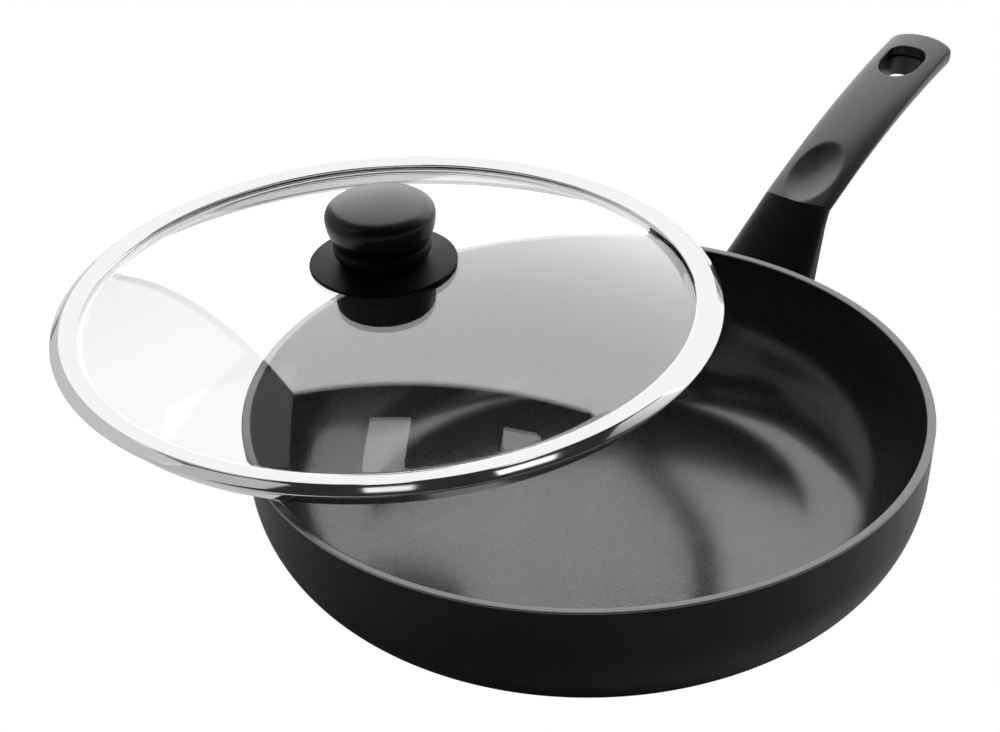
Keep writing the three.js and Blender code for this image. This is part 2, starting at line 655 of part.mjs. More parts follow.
const pan = new THREE.Group();
addPiece(pan, 'pan_body', panBody(), lacquer());
addPiece(pan, 'induction_disc', inductionDisc(), brushedSteel());
addPiece(pan, 'handle_stud', handleStud(), plainSteel());
addPiece(pan, 'handle_neck', handleNeck(), bakelite());
addPiece(pan, 'neck_washer', neckWasher(), plainSteel());
addPiece(pan, 'neck_screw', neckScrew(), plainSteel());
addPiece(pan, 'handle_grip', handleGrip(), softTouch());
addPiece(pan, 'grip_screw', gripScrew(), plainSteel());

const lid = new THREE.Group();
restLid(lid);
addPiece(lid, 'lid_glass', lidGlass(), clearGlass());
addPiece(lid, 'lid_rim', lidRim(), polishedSteel());
addPiece(lid, 'knob_base', knobBase(), bakelite());
addPiece(lid, 'knob_head', knobHead(), bakelite());
addPiece(lid, 'knob_insert', knobInsert(), brass());
addPiece(
  lid, 'knob_seal_upper',
  tube(SEAL_HOLE, SEAL_RADIUS, UPPER_SEAL_LOW, UPPER_SEAL_LOW + SEAL_THICKNESS, SMALL_STEPS), silicone(),
);
addPiece(
  lid, 'knob_seal_lower',
  tube(SEAL_HOLE, SEAL_RADIUS, LOWER_SEAL_TOP - SEAL_THICKNESS, LOWER_SEAL_TOP, SMALL_STEPS), silicone(),
);
addPiece(
  lid, 'knob_washer',
  tube(SEAL_HOLE, KNOB_WASHER_RADIUS, KNOB_WASHER_TOP - KNOB_WASHER_THICKNESS, KNOB_WASHER_TOP, SMALL_STEPS),
  plainSteel(),
);
addPiece(lid, 'knob_screw', knobScrew(), plainSteel());

const sautePan = new THREE.Group();
sautePan.add(pan, lid);

export default sautePan;
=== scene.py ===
# %% [markdown]
# # A saute pan with a glass lid
# The CAD model gives every piece its place and its size. This script dresses it: it turns and lofts finer
# pieces over the CAD nodes, gives each a finish and lights them as in a small studio. The pieces' lengths
# are in millimetres, as on a drawing, and become Blender's metres where a mesh is made. Camera, lights and
# floor are placed in metres.

# %% Load the frame
import math

import bmesh
import bpy
import numpy as np
from mathutils import Matrix, Vector


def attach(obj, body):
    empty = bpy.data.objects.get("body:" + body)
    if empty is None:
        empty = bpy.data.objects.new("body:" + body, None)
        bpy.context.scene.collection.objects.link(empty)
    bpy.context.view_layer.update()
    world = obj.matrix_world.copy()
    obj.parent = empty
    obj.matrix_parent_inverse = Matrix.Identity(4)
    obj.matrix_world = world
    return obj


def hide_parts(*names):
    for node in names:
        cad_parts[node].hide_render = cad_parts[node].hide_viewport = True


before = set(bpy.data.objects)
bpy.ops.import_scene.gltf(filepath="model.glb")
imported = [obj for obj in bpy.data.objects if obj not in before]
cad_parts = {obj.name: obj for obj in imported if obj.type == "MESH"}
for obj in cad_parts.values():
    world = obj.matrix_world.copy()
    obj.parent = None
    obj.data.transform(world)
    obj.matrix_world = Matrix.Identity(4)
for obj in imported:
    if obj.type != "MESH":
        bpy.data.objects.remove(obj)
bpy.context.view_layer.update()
scene = bpy.context.scene
MM = 0.001

# %% [markdown]
# ## Camera
# The pan's rim is a circle, and so is the lid's. Their ellipses in the photograph fix the camera: it stands
# about a metre away, looks down by 32 degrees along the line between the handle and the lid, and has the
# field of view of an 87 mm lens.

# %% Camera
LENS, FILM_WIDTH = 86.77, 36
CAMERA_PLACE = Vector((-0.69755, -0.44217, 0.5939))
forward = Vector((0.69841685, 0.48541236, -0.52591706))
upward = Vector((0.45092918, 0.27217767, 0.85004835))
sideways = forward.cross(upward)
camera_data = bpy.data.cameras.new("camera")
camera_data.lens = LENS
camera_data.sensor_width = FILM_WIDTH
camera_data.sensor_fit = "HORIZONTAL"
camera = bpy.data.objects.new("camera", camera_data)
camera_axes = Matrix((sideways, upward, -forward)).transposed().to_4x4()
camera.matrix_world = Matrix.Translation(CAMERA_PLACE) @ camera_axes
scene.collection.objects.link(camera)
scene.camera = camera
scene.view_settings.view_transform = "Standard"
print("camera lens:", LENS, "mm")

# %% [markdown]
# ## Node trees
# Lights, finishes and turned shapes are all made of nodes here. Two small helpers add a node and link its
# inputs, so that each tree below reads from its sources to its result.


# %% Helpers for node trees
def node(tree, kind, links=None, values=None, **settings):
    """Adds a node, sets its settings and input values, and links sources into its inputs."""
    made = tree.nodes.new(kind)
    for key, value in settings.items():
        setattr(made, key, value)
    for key, value in (values or {}).items():
        made.inputs[key].default_value = value
    for key, source in (links or {}).items():
        tree.links.new(source, made.inputs[key])
    return made


def math_node(tree, operation, *values):
    """The output of a Math node. Each value is a number or another node's output."""
    made = node(tree, "ShaderNodeMath", operation=operation)
    for slot_in, value in zip(made.inputs, values):
        if isinstance(value, (int, float)):
            slot_in.default_value = value
        else:
            tree.links.new(value, slot_in)
    return made.outputs[0]


# %% [markdown]
# ## Light
# A dark glossy object is mostly lit by what it mirrors. A tall white wall of light stands behind the pan,
# and two small softboxes hang above it: on the glass they show as the pale field with a curved lower edge
# and as two bright patches. Cards at the sides and two more softboxes show on the lid's bevel, and two low
# cards on the flanks of the handle's neck. Area lights are given a radiance here, because that is what a
# mirror shows of them. The wall grows brighter upwards and ends in a soft edge, and the right card fades
# sideways: in a light's own small node tree, Parametric tells how far along the light a point is.

# %% Light helpers
CARD_FOOT = 0.05


def softbox(name, centre, facing, width, height, radiance):
    """An area light with its middle at a place, shining in a direction."""
    data = bpy.data.lights.new(name, "AREA")
    data.shape = "RECTANGLE"
    data.size, data.size_y = width, height
    data.energy = radiance * math.pi * width * height
    lamp = bpy.data.objects.new(name, data)
    turn = Vector(facing).to_track_quat("-Z", "Y")
    lamp.matrix_world = Matrix.Translation(centre) @ turn.to_matrix().to_4x4()
    lamp.visible_camera = False
    scene.collection.objects.link(lamp)
    return lamp


def level(azimuth, length=1.0):
    """A level vector in a direction given in degrees from the handle."""
    return length * Vector((math.cos(math.radians(azimuth)), math.sin(math.radians(azimuth)), 0))


def upright(name, azimuth, distance, left, right, top, radiance):
    """An upright light that faces the pan. Left and right are measured sideways from its direction."""
    middle = level(azimuth, distance) + level(azimuth + 90, (left + right) / 2)
    middle.z = (top + CARD_FOOT) / 2
    return softbox(name, middle, -level(azimuth), left - right, top - CARD_FOOT, radiance)


def overhead(name, x, y, height, turn, width, length, radiance):
    """A light that lies flat overhead, turned by an angle in degrees."""
    lamp = softbox(name, (x, y, height), (0, 0, -1), width, length, radiance)
    lamp.matrix_world = lamp.matrix_world @ Matrix.Rotation(math.radians(turn), 4, "Z")
    return lamp


def grade(lamp, axis, stops):
    """Lets a light's radiance change along its X or Y. A stop is a place from 0 to 1 and a share."""
    lamp.data.use_nodes = True
    tree = lamp.data.node_tree
    place = node(tree, "ShaderNodeNewGeometry").outputs["Parametric"]
    way = node(tree, "ShaderNodeSeparateXYZ", {"Vector": place}).outputs[axis]
    ramp = node(tree, "ShaderNodeValToRGB", {"Fac": way})
    points = ramp.color_ramp.elements
    points.remove(points[1])
    for i, (at, share) in enumerate(stops):
        point = points.new(at) if i else points[0]
        point.position = at
        point.color = (share, share, share, 1)
    tree.links.new(ramp.outputs["Color"], tree.nodes["Emission"].inputs["Strength"])


# %% Walls and cards
WALL_SPAN = {"azimuth": 30, "distance": 1.28, "left": 0.78, "right": -2.2}
wall = upright("wall_of_light", **WALL_SPAN, top=2.03, radiance=4.1)
grade(wall, "Y", [(0, 0.58), (0.975, 1), (1, 0)])
dim_wall = upright("wall_for_metal", **WALL_SPAN, top=2.02, radiance=1.08)
upright("left_card", azimuth=100, distance=0.9, left=0.45, right=-0.65, top=1.0, radiance=0.6)
upright("side_card", azimuth=140, distance=0.9, left=0.24, right=-0.22, top=1.75, radiance=0.5)
right_card = upright(
    "right_card", azimuth=-40, distance=1.25, left=0.24, right=-0.45, top=1.49, radiance=0.95
)
grade(right_card, "X", [(0, 0.06), (1, 1)])
neck_cards = [
    upright("neck_left_card", azimuth=50, distance=0.60, left=0.25, right=-0.25, top=0.35, radiance=5.0),
    upright("neck_right_card", azimuth=-33, distance=0.55, left=0.25, right=-0.30, top=0.45, radiance=6.0),
]
print("graded:", wall.name, right_card.name)

# %% Softboxes
SOFTBOX = {"height": 1.58, "length": 0.15}
overhead("left_softbox", x=0.36, y=0.475, turn=30, width=0.38, radiance=2.0, **SOFTBOX)
overhead("right_softbox", x=0.60, y=0.05, turn=30, width=0.38, radiance=2.0, **SOFTBOX)
overhead("front_softbox", x=0.11, y=-0.79, turn=-26, width=0.44, radiance=1.4, **SOFTBOX)
near_softbox = overhead("near_softbox", x=-0.58, y=-0.23, turn=-54, width=0.30, radiance=1.1, **SOFTBOX)
overhead("left_glow", x=0.29, y=1.40, height=1.90, turn=36, width=1.10, length=0.70, radiance=0.45)
table_light = overhead(
    "table_light", x=0.30, y=-0.55, height=1.00, turn=0, width=1.00, length=0.80, radiance=4.0
)

# %% Dim room
ROOM_GREY = 0.028
world = bpy.data.worlds.new("dim_room")
world.use_nodes = True
background = world.node_tree.nodes["Background"]
background.inputs["Color"].default_value = (ROOM_GREY, ROOM_GREY, ROOM_GREY, 1)
scene.world = world
print("room:", world.name)

# %% [markdown]
# ## Floor
# The photograph has a plain white ground without a shadow, as when a picture is cut out, and yet the pan
# mirrors an ordinary lit table. So the plane glows white for the camera and for all that is seen through
# the lid, and is plain paper to all else. Light Path tells how often a ray was bent on its way: a ray
# through the lid was bent twice, at the two faces of the glass.

# %% Floor finish
TABLE_GREY, TABLE_ROUGHNESS, TABLE_SPECULAR = 0.7, 0.9, 0.1
BENT_TWICE, NEVER_SCATTERED = 1.5, 0.5
table_top = bpy.data.materials.new("lit_table")
table_top.use_nodes = True
tree = table_top.node_tree
shader = tree.nodes["Principled BSDF"]
shader.inputs["Base Color"].default_value = (TABLE_GREY, TABLE_GREY, TABLE_GREY, 1)
shader.inputs["Roughness"].default_value = TABLE_ROUGHNESS
shader.inputs["Specular IOR Level"].default_value = TABLE_SPECULAR
ray = node(tree, "ShaderNodeLightPath").outputs
through_lid = math_node(tree, "GREATER_THAN", ray["Transmission Depth"], BENT_TWICE)
seen = math_node(tree, "MAXIMUM", ray["Is Camera Ray"], through_lid)
unscattered = math_node(tree, "LESS_THAN", ray["Diffuse Depth"], NEVER_SCATTERED)
shows = math_node(tree, "MULTIPLY", seen, unscattered)
white = node(tree, "ShaderNodeEmission").outputs["Emission"]
ground = node(tree, "ShaderNodeMixShader", {0: shows, 1: shader.outputs["BSDF"], 2: white})
tree.links.new(ground.outputs["Shader"], tree.nodes["Material Output"].inputs["Surface"])
print("floor finish:", table_top.name)

# %% Floor
HALF, UNDER_PAN = 60, 0.0004
corners = [(-HALF, -HALF), (HALF, -HALF), (HALF, HALF), (-HALF, HALF)]
floor_mesh = bpy.data.meshes.new("floor")
floor_mesh.from_pydata([(x, y, -UNDER_PAN) for x, y in corners], [], [(0, 1, 2, 3)])
floor_mesh.materials.append(table_top)
floor = bpy.data.objects.new("floor", floor_mesh)
scene.collection.objects.link(floor)
print("floor:", 2 * HALF, "m wide")

# %% [markdown]
# ## Finishes
# Each finish is a Principled shader whose colour, roughness and bump come from noise on Object coordinates.
# The noise scale is in features for each metre: 2000 is grain of half a millimetre, 30 is a soft cloud
# across the hand.

# %% Finish helpers
NOISE_LOW, NOISE_HIGH = 0.3, 0.7


def finish(name, metallic=0.0, specular=0.5, **sockets):
    """A new material with its Principled shader and Object coordinates."""
    material = bpy.data.materials.new(name)
    material.use_nodes = True
    tree = material.node_tree
    shader = tree.nodes["Principled BSDF"]
    shader.inputs["Metallic"].default_value = metallic
    shader.inputs["Specular IOR Level"].default_value = specular
    for key, value in sockets.items():
        shader.inputs[key.replace("_", " ")].default_value = value
    place = node(tree, "ShaderNodeTexCoord").outputs["Object"]
    return material, tree, shader, place


def noise(tree, place, scale, detail=2.0):
    """Noise that mostly lies between NOISE_LOW and NOISE_HIGH."""
    made = node(tree, "ShaderNodeTexNoise", {"Vector": place}, {"Scale": scale, "Detail": detail})
    return made.outputs["Fac"]


def tint(tree, shader, factor, low, high, start=NOISE_LOW, end=NOISE_HIGH):
    """Base colour that goes from one grey or colour to another as the factor rises from start to end."""
    ramp = node(tree, "ShaderNodeValToRGB", {"Fac": factor})
    for stop, at, shade in zip(ramp.color_ramp.elements, (start, end), (low, high)):
        stop.position = at
        stop.color = (*shade, 1) if isinstance(shade, tuple) else (shade, shade, shade, 1)
    tree.links.new(ramp.outputs["Color"], shader.inputs["Base Color"])


def vary_roughness(tree, shader, factor, low, high):
    """Roughness that follows the factor from low to high."""
    spread = node(
        tree, "ShaderNodeMapRange", {"Value": factor},
        {"From Min": NOISE_LOW, "From Max": NOISE_HIGH, "To Min": low, "To Max": high},
    )
    tree.links.new(spread.outputs["Result"], shader.inputs["Roughness"])


def grain(tree, shader, factor, strength, depth):
    """Bump of a depth in millimetres."""
    bump = node(
        tree, "ShaderNodeBump", {"Height": factor}, {"Strength": strength, "Distance": depth * MM}
    )
    tree.links.new(bump.outputs["Normal"], shader.inputs["Normal"])


def turning_lines(tree, place, pitch, centre=(0, 0)):
    """Noise that only depends on the distance from an upright axis, as a lathe tool leaves it."""
    shift = (-centre[0] * MM, -centre[1] * MM, 0)
    moved = node(tree, "ShaderNodeMapping", {"Vector": place}, {"Location": shift}).outputs["Vector"]
    flat = node(tree, "ShaderNodeVectorMath", {0: moved}, {1: (1, 1, 0)}, operation="MULTIPLY")
    radius = node(tree, "ShaderNodeVectorMath", {0: flat.outputs["Vector"]}, operation="LENGTH")
    lines = node(
        tree, "ShaderNodeTexNoise", {"W": radius.outputs["Value"]}, {"Scale": 1 / (pitch * MM)},
        noise_dimensions="1D",
    )
    return lines.outputs["Fac"]


def clouded(name, cloud_scale, shades, roughness, grains=None, **settings):
    """A finish whose shade and roughness vary in soft clouds. Grains are scale, strength and depth."""
    material, tree, shader, place = finish(name, **settings)
    cloud = noise(tree, place, cloud_scale)
    tint(tree, shader, cloud, *shades)
    vary_roughness(tree, shader, cloud, *roughness)
    if grains:
        grain_scale, strength, depth = grains
        grain(tree, shader, noise(tree, place, grain_scale), strength, depth)
    return material


# %% [markdown]
# The cast body has a satin black lacquer outside. Inside lies a ceramic coat, dark grey with fine pale
# specks, glossy enough to mirror the wall of light.

# %% Pan finishes
lacquer = clouded(
    "satin_lacquer", 28, (0.004, 0.006), (0.36, 0.44), grains=(2200, 0.10, 0.05), specular=0.11
)

ceramic, tree, shader, place = finish("speckled_ceramic")
specks = noise(tree, place, 2600, detail=1.0)
tint(tree, shader, specks, 0.022, 0.08, start=0.52, end=0.74)
vary_roughness(tree, shader, noise(tree, place, 60), 0.16, 0.20)
grain(tree, shader, noise(tree, place, 1100), strength=0.10, depth=0.05)
print("pan finishes:", lacquer.name, ceramic.name)

# %% [markdown]
# The rim between them is machined bare, so fine circles run round it. Further down, light linking gives
# bare metal a dimmer wall to mirror, but that doesn't reach through glass. So the rim's colour has painted
# shade instead: it is darker for rays that came through the lid. A Mix node has several sockets of one
# name, so they are told by number.

# %% Bare rim finish
FACTOR, FIRST_COLOUR, SECOND_COLOUR, MIXED_COLOUR = 0, 6, 7, 2
UNDER_LID_SHADE, BENT_ONCE = 0.3, 0.5
bare_rim, tree, shader, place = finish("machined_aluminium", metallic=1.0)
lines = turning_lines(tree, place, pitch=0.12)
tint(tree, shader, lines, 0.23, 0.33)
bare = shader.inputs["Base Color"].links[0].from_socket
depth = node(tree, "ShaderNodeLightPath").outputs["Transmission Depth"]
under_lid = math_node(tree, "GREATER_THAN", depth, BENT_ONCE)
# Painted shade: for rays that came through the lid, the rim's colour is multiplied by 0.3.
painted_shade_under_lid = node(
    tree, "ShaderNodeMix", {FACTOR: under_lid, FIRST_COLOUR: bare},
    {SECOND_COLOUR: (UNDER_LID_SHADE, UNDER_LID_SHADE, UNDER_LID_SHADE, 1)}, data_type="RGBA", blend_type="MULTIPLY",
)
tree.links.new(painted_shade_under_lid.outputs[MIXED_COLOUR], shader.inputs["Base Color"])
vary_roughness(tree, shader, lines, 0.30, 0.42)
grain(tree, shader, lines, strength=0.15, depth=0.03)
print("rim finish:", bare_rim.name)

# %% [markdown]
# The handle's neck and the knob are moulded bakelite, black and half matt; the knob's head is polished by
# use. The grip has a soft-touch coat with a very fine grain, which spreads the light from behind into a
# grey sheen.

# %% Handle and knob finishes
BAKELITE_BLACK, BAKELITE_GRAIN = (0.004, 0.006), (2600, 0.08, 0.04)
bakelite = clouded(
    "black_bakelite", 45, BAKELITE_BLACK, (0.38, 0.46), grains=BAKELITE_GRAIN, specular=0.07
)
rubbed_bakelite = clouded(
    "rubbed_bakelite", 45, BAKELITE_BLACK, (0.27, 0.34), grains=BAKELITE_GRAIN, specular=0.29
)
soft_touch = clouded(
    "soft_touch_grip", 40, (0.012, 0.016), (0.28, 0.35), grains=(3200, 0.18, 0.05), specular=0.31
)
print("handle finishes:", bakelite.name, rubbed_bakelite.name, soft_touch.name)

# %% [markdown]
# The lid's rim is polished steel with the faintest trace of the polishing wheel round it. The lid's axis is
# not the pan's, so a Mapping node centres those lines on the lid. The glass is clear; for light on its way
# to the pan it is made see-through, because a path tracer can't aim light through a lens.

# %% Lid finishes
LID_CENTRE = (7.75, 105.52)
polished_steel, tree, shader, place = finish("polished_steel", metallic=1.0)
lines = turning_lines(tree, place, pitch=0.25, centre=LID_CENTRE)
tint(tree, shader, lines, 0.78, 0.84)
vary_roughness(tree, shader, noise(tree, place, 35), 0.045, 0.085)
grain(tree, shader, lines, strength=0.02, depth=0.02)

clear_glass, tree, shader, place = finish("clear_glass", Transmission_Weight=1.0, IOR=1.5)
shader.inputs["Base Color"].default_value = (0.985, 0.99, 0.988, 1)
vary_roughness(tree, shader, noise(tree, place, 18), 0.0, 0.012)
passing = node(tree, "ShaderNodeBsdfTransparent", values={"Color": (0.93, 0.94, 0.935, 1)})
shadow_ray = node(tree, "ShaderNodeLightPath").outputs["Is Shadow Ray"]
glass_mix = node(
    tree, "ShaderNodeMixShader",
    {0: shadow_ray, 1: shader.outputs["BSDF"], 2: passing.outputs["BSDF"]},
)
tree.links.new(glass_mix.outputs["Shader"], tree.nodes["Material Output"].inputs["Surface"])
print("lid finishes:", polished_steel.name, clear_glass.name)

# %% [markdown]
# The small pieces that hold the pan together are plated steel, brass and grey silicone. The base has a
# steel disc with turning lines and inlays of aluminium.

# %% Fastener finishes
plated_steel = clouded("plated_steel", 300, (0.42, 0.50), (0.28, 0.38), metallic=1.0)
inlay_metal = clouded("pressed_aluminium", 700, (0.55, 0.68), (0.35, 0.5), metallic=1.0)
brass_shades = (0.56, 0.40, 0.14), (0.66, 0.49, 0.20)
turned_brass = clouded("turned_brass", 400, brass_shades, (0.26, 0.36), metallic=1.0)
grey_silicone = clouded("grey_silicone", 250, (0.66, 0.74), (0.5, 0.62), specular=0.4)

disc_steel, tree, shader, place = finish("turned_disc_steel", metallic=1.0)
lines = turning_lines(tree, place, pitch=0.35)
tint(tree, shader, lines, 0.46, 0.56)
vary_roughness(tree, shader, lines, 0.24, 0.36)
grain(tree, shader, lines, strength=0.25, depth=0.04)
print("finishes in all:", len(bpy.data.materials))

# %% [markdown]
# ## A lathe of nodes
# Pan, rim, glass and knob are all turned shapes, so one rule makes them: a profile goes round an axis. In
# Geometry Nodes, Curve to Mesh sweeps the profile along a circle. The profile is drawn from the circle's
# own line, so its distance to the axis is its place plus the circle's radius, the throat. Points that meet
# on the axis are merged there.


# %% Helpers for Geometry Nodes
def geometry_tree(name, sockets):
    """A new tree with named inputs, the identifiers of those and the outputs of its Group Input."""
    tree = bpy.data.node_groups.new(name, "GeometryNodeTree")
    identifiers = {}
    for key, kind in sockets.items():
        socket = tree.interface.new_socket(key, in_out="INPUT", socket_type="NodeSocket" + kind)
        identifiers[key] = socket.identifier
    tree.interface.new_socket("Geometry", in_out="OUTPUT", socket_type="NodeSocketGeometry")
    return tree, identifiers, node(tree, "NodeGroupInput").outputs


def close_tree(tree, geometry, material):
    """Ends a tree in plain geometry with one finish."""
    real = node(tree, "GeometryNodeRealizeInstances", {"Geometry": geometry}).outputs["Geometry"]
    painted = node(tree, "GeometryNodeSetMaterial", {"Geometry": real, "Material": material})
    node(tree, "NodeGroupOutput", {"Geometry": painted.outputs["Geometry"]})


# %% Lathe tree
THROAT, TOUCHING, TURNED_CREASE = 0.1, 1e-6, math.radians(32)
lathe, lathe_inputs, given = geometry_tree(
    "turned_piece", {"Profile": "Geometry", "Steps": "Int", "Finish": "Material"}
)
drawn = node(lathe, "GeometryNodeMeshToCurve", {"Mesh": given["Profile"]}).outputs["Curve"]
circle = node(
    lathe, "GeometryNodeCurvePrimitiveCircle", {"Resolution": given["Steps"]}, {"Radius": THROAT}
)
swept = node(
    lathe, "GeometryNodeCurveToMesh", {"Curve": circle.outputs["Curve"], "Profile Curve": drawn}
)
merged = node(
    lathe, "GeometryNodeMergeByDistance", {"Geometry": swept.outputs["Mesh"]}, {"Distance": TOUCHING}
)
outwards = node(lathe, "GeometryNodeFlipFaces", {"Mesh": merged.outputs["Geometry"]})
smooth = node(lathe, "GeometryNodeSetShadeSmooth", {"Geometry": outwards.outputs["Mesh"]})
bend = node(lathe, "GeometryNodeInputMeshEdgeAngle").outputs["Unsigned Angle"]
sharp = node(lathe, "FunctionNodeCompare", {"A": bend}, {"B": TURNED_CREASE}, operation="GREATER_THAN")
creased = node(
    lathe, "GeometryNodeSetShadeSmooth",
    {"Geometry": smooth.outputs["Geometry"], "Selection": sharp.outputs["Result"]},
    {"Shade Smooth": False}, domain="EDGE",
)
close_tree(lathe, creased.outputs["Geometry"], given["Finish"])
print("lathe inputs:", list(lathe_inputs))


# %% Using a tree
def grow(name, mesh, tree, values, place=None):
    """Runs a node tree over a mesh, keeps the result as a plain mesh and puts it in its place."""
    piece = bpy.data.objects.new(name, mesh)
    scene.collection.objects.link(piece)
    modifier = piece.modifiers.new(name, "NODES")
    modifier.node_group = tree
    for identifier, value in values.items():
        modifier[identifier] = value
    evaluated = piece.evaluated_get(bpy.context.evaluated_depsgraph_get())
    grown = bpy.data.meshes.new_from_object(evaluated)
    piece.modifiers.clear()
    piece.data = grown
    grown.name = name
    if place is not None:
        grown.transform(place)
    return piece


def turned(name, profile, steps, material, place=None, ring=False):
    """Turns (radius, height) pairs: out along the bottom, up the outside and back along the top."""
    line = bpy.data.meshes.new(name)
    count = len(profile)
    edges = [(i, (i + 1) % count) for i in range(count if ring else count - 1)]
    line.from_pydata([(r * MM - THROAT, -z * MM, 0) for r, z in profile], edges, [])
    values = {lathe_inputs["Steps"]: steps, lathe_inputs["Finish"]: material}
    return grow(name, line, lathe, values, place)


def dress(piece, body, slot, *nodes):
    """Hangs a finished piece on its body, in the place of the CAD nodes that it stands for."""
    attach(piece, body)
    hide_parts(*nodes)
    print(f"{piece.name}: {len(piece.data.polygons)} faces, for {', '.join(nodes)}")
    return piece


# %% [markdown]
# ## Drawing profiles
# Two kinds of line make every profile: Bezier curves and polylines whose corners are softened. A softened
# corner catches a thin highlight, and that is what makes bent sheet and moulded edges look real.

# %% Profile helpers
CORNER_SHARE = 0.45


def bezier(*points, steps=16):
    """A Bezier curve from its control points, quadratic or cubic, as a list of pairs."""
    controls = [np.array(p, float) for p in points]
    degree = len(controls) - 1
    line = []
    for t in np.linspace(0, 1, steps + 1):
        weights = [math.comb(degree, k) * t**k * (1 - t) ** (degree - k) for k in range(degree + 1)]
        line.append(tuple(sum(w * c for w, c in zip(weights, controls))))
    return line


def soften(points, cut, steps=5):
    """Rounds each corner of a polyline, starting at most a cut's length before it."""
    spots = [np.array(p, float) for p in points]
    line = [tuple(spots[0])]
    for before, spot, after in zip(spots, spots[1:], spots[2:]):
        reaches = [min(cut / np.linalg.norm(end - spot), CORNER_SHARE) for end in (before, after)]
        start, end = spot + (before - spot) * reaches[0], spot + (after - spot) * reaches[1]
        line += bezier(start, spot, end, steps=steps)
    return line + [tuple(spots[-1])]


# %% [markdown]
# ## Pan
# The body is cast with a large round corner and a wall that opens slightly. The coat inside and the bare
# rim are thin layers of their own, each a closed shell a hair from its neighbour, so each keeps its own
# finish.

# %% Pan sizes
RIM_RADIUS, PAN_HEIGHT, WALL, FLOOR = 140.0, 65.0, 3.6, 4.5
LEAN = math.radians(3.7)
CORNER = 47.7
MOUTH = RIM_RADIUS - WALL
COAT, HAIR, BARE = 0.2, 0.02, 0.55
INNER_ROUND, OUTER_ROUND = 1.3, 0.9
DISC_RADIUS, DISC_THICKNESS, SEAT, POCKET_CHAMFER = 83.08, 1.2, 0.3, 0.2
PAN_STEPS = 256
bare_from = PAN_HEIGHT - BARE


def wall_face(rim_radius, base_height, corner, top, steps=28):
    """One face of the wall: an arc up from the flat base, then a leaning line to a height."""
    middle = base_height + corner
    centre = rim_radius - (PAN_HEIGHT - middle) * math.tan(LEAN) - corner / math.cos(LEAN)
    angles = np.linspace(-math.pi / 2, -LEAN, steps + 1)
    line = [(centre + corner * math.cos(a), middle + corner * math.sin(a)) for a in angles]
    return line + [(rim_radius - (PAN_HEIGHT - top) * math.tan(LEAN), top)]


def inner_face(depth):
    """The inside of the pan, a depth below the surface of its coat."""
    return wall_face(MOUTH + depth, FLOOR - depth, CORNER - WALL + depth, bare_from)


# %% Pan shell
pocket, pocket_roof = DISC_RADIUS + SEAT, DISC_THICKNESS + SEAT
shell_profile = [(0, pocket_roof), (pocket, pocket_roof)]
shell_profile += [(pocket, POCKET_CHAMFER), (pocket + POCKET_CHAMFER, 0)]
shell_profile += wall_face(RIM_RADIUS, 0, CORNER, bare_from)
shell_profile += inner_face(COAT)[::-1] + [(0, FLOOR - COAT)]
pan_shell = turned("pan_shell", shell_profile, PAN_STEPS, lacquer)
dress(pan_shell, "pan", "lacquer", "pan_body")

# %% Coat and bare rim
under = COAT - HAIR
coat_profile = [(0, FLOOR - under)] + inner_face(under) + inner_face(0)[::-1] + [(0, FLOOR)]
pan_coat = turned("pan_coat", coat_profile, PAN_STEPS, ceramic)
dress(pan_coat, "pan", "ceramic_coat", "pan_body")

rim_low = bare_from + HAIR
outer_edge = (RIM_RADIUS, rim_low), (RIM_RADIUS, PAN_HEIGHT), (RIM_RADIUS - OUTER_ROUND, PAN_HEIGHT)
inner_edge = (MOUTH + INNER_ROUND, PAN_HEIGHT), (MOUTH, PAN_HEIGHT), (MOUTH, rim_low)
rim_profile = bezier(*outer_edge, steps=8) + bezier(*inner_edge, steps=8)
pan_rim = turned("pan_rim", rim_profile, PAN_STEPS, bare_rim, ring=True)
dress(pan_rim, "pan", "bare_aluminium", "pan_body")

# %% [markdown]
# ## Base disc
# For induction hobs, a steel disc is pressed into the underside. Such discs are perforated, and the
# casting's aluminium fills the holes. Their pattern is a rule: rings at an even pitch, with six more holes
# in each ring, so that the first k rings hold 3 k (k + 1) holes. Solved for k, that tells a hole's ring
# from its number, and a few Math nodes do it.

# %% Inlay tree
PLUG_SIDES = 18
inlay_sockets = {"Geometry": "Geometry", "Rings": "Int", "Pitch": "Float", "Radius": "Float"}
inlay_sockets |= {"Depth": "Float", "Finish": "Material"}
inlays, inlay_inputs, given = geometry_tree("disc_inlays", inlay_sockets)


def rule(operation, *values):
    """A Math node in the inlay tree."""
    return math_node(inlays, operation, *values)


number = node(inlays, "GeometryNodeInputIndex").outputs["Index"]
root = rule("SQRT", rule("MULTIPLY_ADD", rule("ADD", number, 0.5), 4 / 3, 1))
ring_number = rule("CEIL", rule("MULTIPLY", rule("SUBTRACT", root, 1), 0.5))
first = rule("MULTIPLY", rule("MULTIPLY", ring_number, rule("SUBTRACT", ring_number, 1)), 3)
share = rule("DIVIDE", rule("SUBTRACT", number, first), rule("MULTIPLY", ring_number, 6))
angle = rule("MULTIPLY", share, 2 * math.pi)
reach = rule("MULTIPLY", ring_number, given["Pitch"])
inlay_x = rule("MULTIPLY", reach, rule("COSINE", angle))
inlay_y = rule("MULTIPLY", reach, rule("SINE", angle))
spot = node(inlays, "ShaderNodeCombineXYZ", {"X": inlay_x, "Y": inlay_y}).outputs["Vector"]
total = rule("MULTIPLY", rule("MULTIPLY", given["Rings"], rule("ADD", given["Rings"], 1)), 3)
points = node(inlays, "GeometryNodePoints", {"Count": total, "Position": spot}).outputs["Points"]
plug = node(
    inlays, "GeometryNodeMeshCylinder", {"Radius": given["Radius"], "Depth": given["Depth"]},
    {"Vertices": PLUG_SIDES},
)
placed = node(
    inlays, "GeometryNodeInstanceOnPoints", {"Points": points, "Instance": plug.outputs["Mesh"]}
)
close_tree(inlays, placed.outputs["Instances"], given["Finish"])
print("inlay inputs:", list(inlay_inputs))

